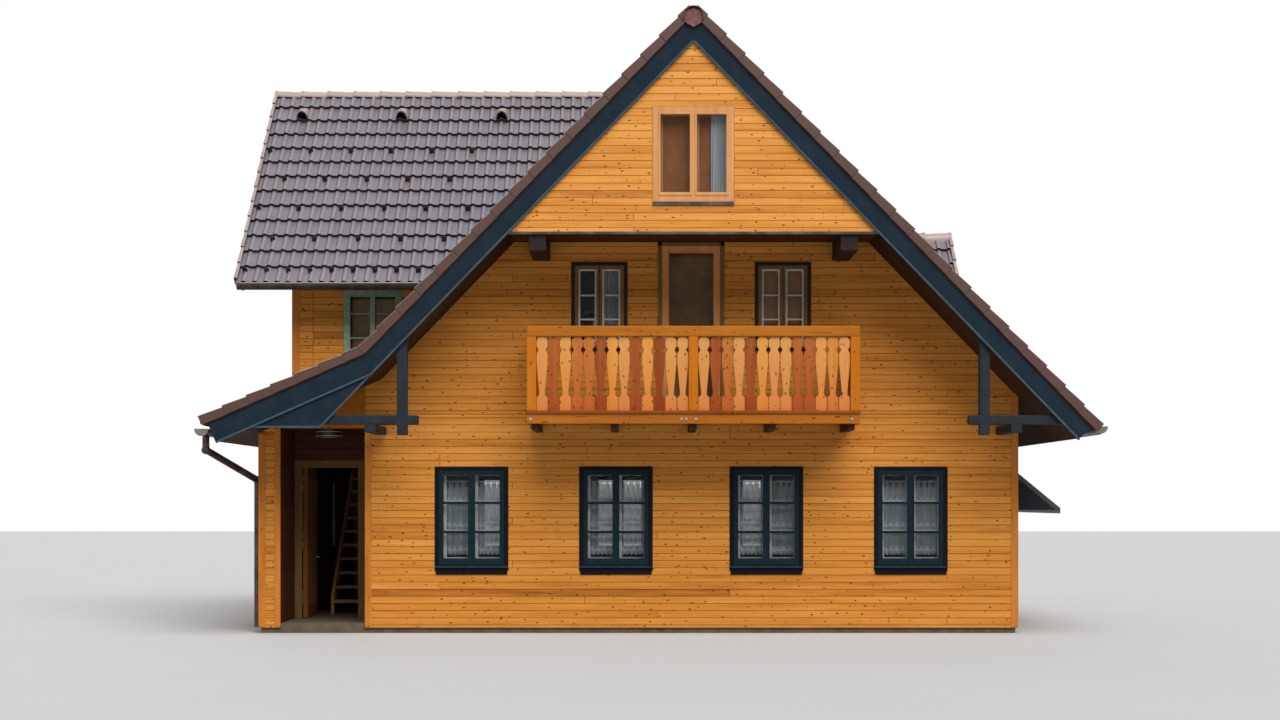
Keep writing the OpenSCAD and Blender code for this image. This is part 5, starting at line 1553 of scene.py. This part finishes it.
KINK = -4.11
INFILL_INNER = (-4.748, 2.688)
INFILL_OUTER = (-5.63, 2.688)
strips = []
for side in (-1, 1):
    y = side * 4.51
    recess = side * 4.496
    strips += [
        lip(main_low(0), main_low(4.9), y),
        lip(main_low(KINK), main_low(0), y),
        lip(flare_low(-6.06), flare_low(KINK), y),
        lip(main_low(INFILL_INNER[0]), main_low(KINK), recess),
        lip(INFILL_OUTER, INFILL_INNER, recess),
    ]
settle(joined("verge_lips", strips), lip_paint)
comb_top = bed(WING, 2.945) + 0.012
combs = []
for side in (-1, 1):
    near, far = sorted((side * 2.935, side * 2.955))
    combs.append(block("comb", (-6.12, near, comb_top - 0.07), (-3.2, far, comb_top), 0.003))
settle(joined("eave_combs", combs), black_and_painted_shade)
print("corner boards and lips:", len(corners), len(strips))

# %% [markdown]
# The wing's gutters run on over the skirt to the main verge. The extension is half a pipe that laps
# inside the end of each CAD gutter. Every gutter also gets the rolled bead along its front rim, and
# light half-round caps close the ends of the two long gutters.

# %% Gutter ends, beads and caps
# The middle and the rim's height of each long gutter
LONG_GUTTERS = ((5.183, 2.703), (-6.262, 2.673))
WING_GUTTER_Y = 2.952
WING_GUTTER_RIM = 4.698
GUTTER_RADIUS = 0.083
EXTENSION_START = -4.40
EXTENSION_END = -3.43


def half_pipe(y, rim):
    """A half-round gutter along X with its rim at a height."""
    length = EXTENSION_END - EXTENSION_START
    pipe = drum("gutter_end", 24, GUTTER_RADIUS, length, turn=(0, QUARTER, 0), ends="NOTHING")
    trim(pipe, lambda face: centre(face).z > 0.001)
    pipe.data.transform(Matrix.Translation((EXTENSION_START + length / 2, y, rim)))
    return thicken(pipe, 0.003, 40)


def bead(start, end):
    """A round roll of sheet along a gutter's rim."""
    start, end = Vector(start), Vector(end)
    way = end - start
    roll = drum("bead", 10, 0.009, way.length, turn=(0, 0, 0))
    bevel(roll, 0.002, angle_limit=math.radians(60))
    turn = Vector((0, 0, 1)).rotation_difference(way).to_matrix().to_4x4()
    roll.data.transform(Matrix.Translation((start + end) / 2) @ turn)
    return roll


def gutter_cap(x, y, rim):
    """A thin disc whose upper half is cut away."""
    disc = drum("gutter_cap", 28, 0.09, 0.006, (x, y, rim))
    cut(disc, *above("z", rim + 0.004))
    return bevel(disc, 0.0015)


gutter_ends = [half_pipe(side * WING_GUTTER_Y, WING_GUTTER_RIM) for side in (-1, 1)]
settle(joined("gutter_extensions", gutter_ends), gutter_metal)
beads = [bead((-6.13, y, 4.697), (EXTENSION_END, y, 4.697)) for y in (-3.036, 3.036)]
for x, rim in LONG_GUTTERS:
    edge = x + math.copysign(GUTTER_RADIUS, x)
    beads.append(bead((edge, -4.5, rim - 0.001), (edge, 4.5, rim - 0.001)))
settle(joined("gutter_beads", beads), bead_metal)
ends = [gutter_cap(x, side * 4.514, rim) for x, rim in LONG_GUTTERS for side in (-1, 1)]
settle(joined("gutter_caps", ends), cap_metal)
print("gutter ends, beads and caps:", len(gutter_ends), len(beads), len(ends))

# %% [markdown]
# The CAD nodes that keep their shape get a finish each. Those that face the weather are painted or
# stained, and those inside the house are plain boards. The roof undersides, the porch ceiling and the
# attic floor have darker boards, painted shade.

# %% Finishes on the CAD nodes
node_finishes = {
    "ground_slab": plinth_render,
    "porch_ceiling": porch_painted_shade_boards,
    "first_floor": floor_finish,
    "attic_floor": porch_painted_shade_boards,
    "stair_treads": floor_finish,
    "stair_strings": floor_finish,
    "roof_left": soffit_boards_and_shade,
    "roof_right": soffit_boards_and_shade,
    "wing_roof": soffit_boards_and_shade,
    "dormer_roof": soffit_boards_and_shade,
    "verge_boards": verge_paint,
    "flare_infill": verge_paint,
    "ground_window_frames": window_paint,
    "upper_window_frames": upper_casing,
    "attic_window_frames": larch,
    "wing_window_frames": wing_paint,
    "balcony_door": door_frames,
    "gutters": gutter_metal,
    "downpipe": gutter_metal,
    "canopy_roof": canopy_metal,
    "canopy_brackets": bracket_paint,
    "entrance_hinges": steel,
    "entrance_handle": steel,
}
for name, finish in node_finishes.items():
    finish_node(name, finish)
print("finishes on", len(node_finishes), "nodes")
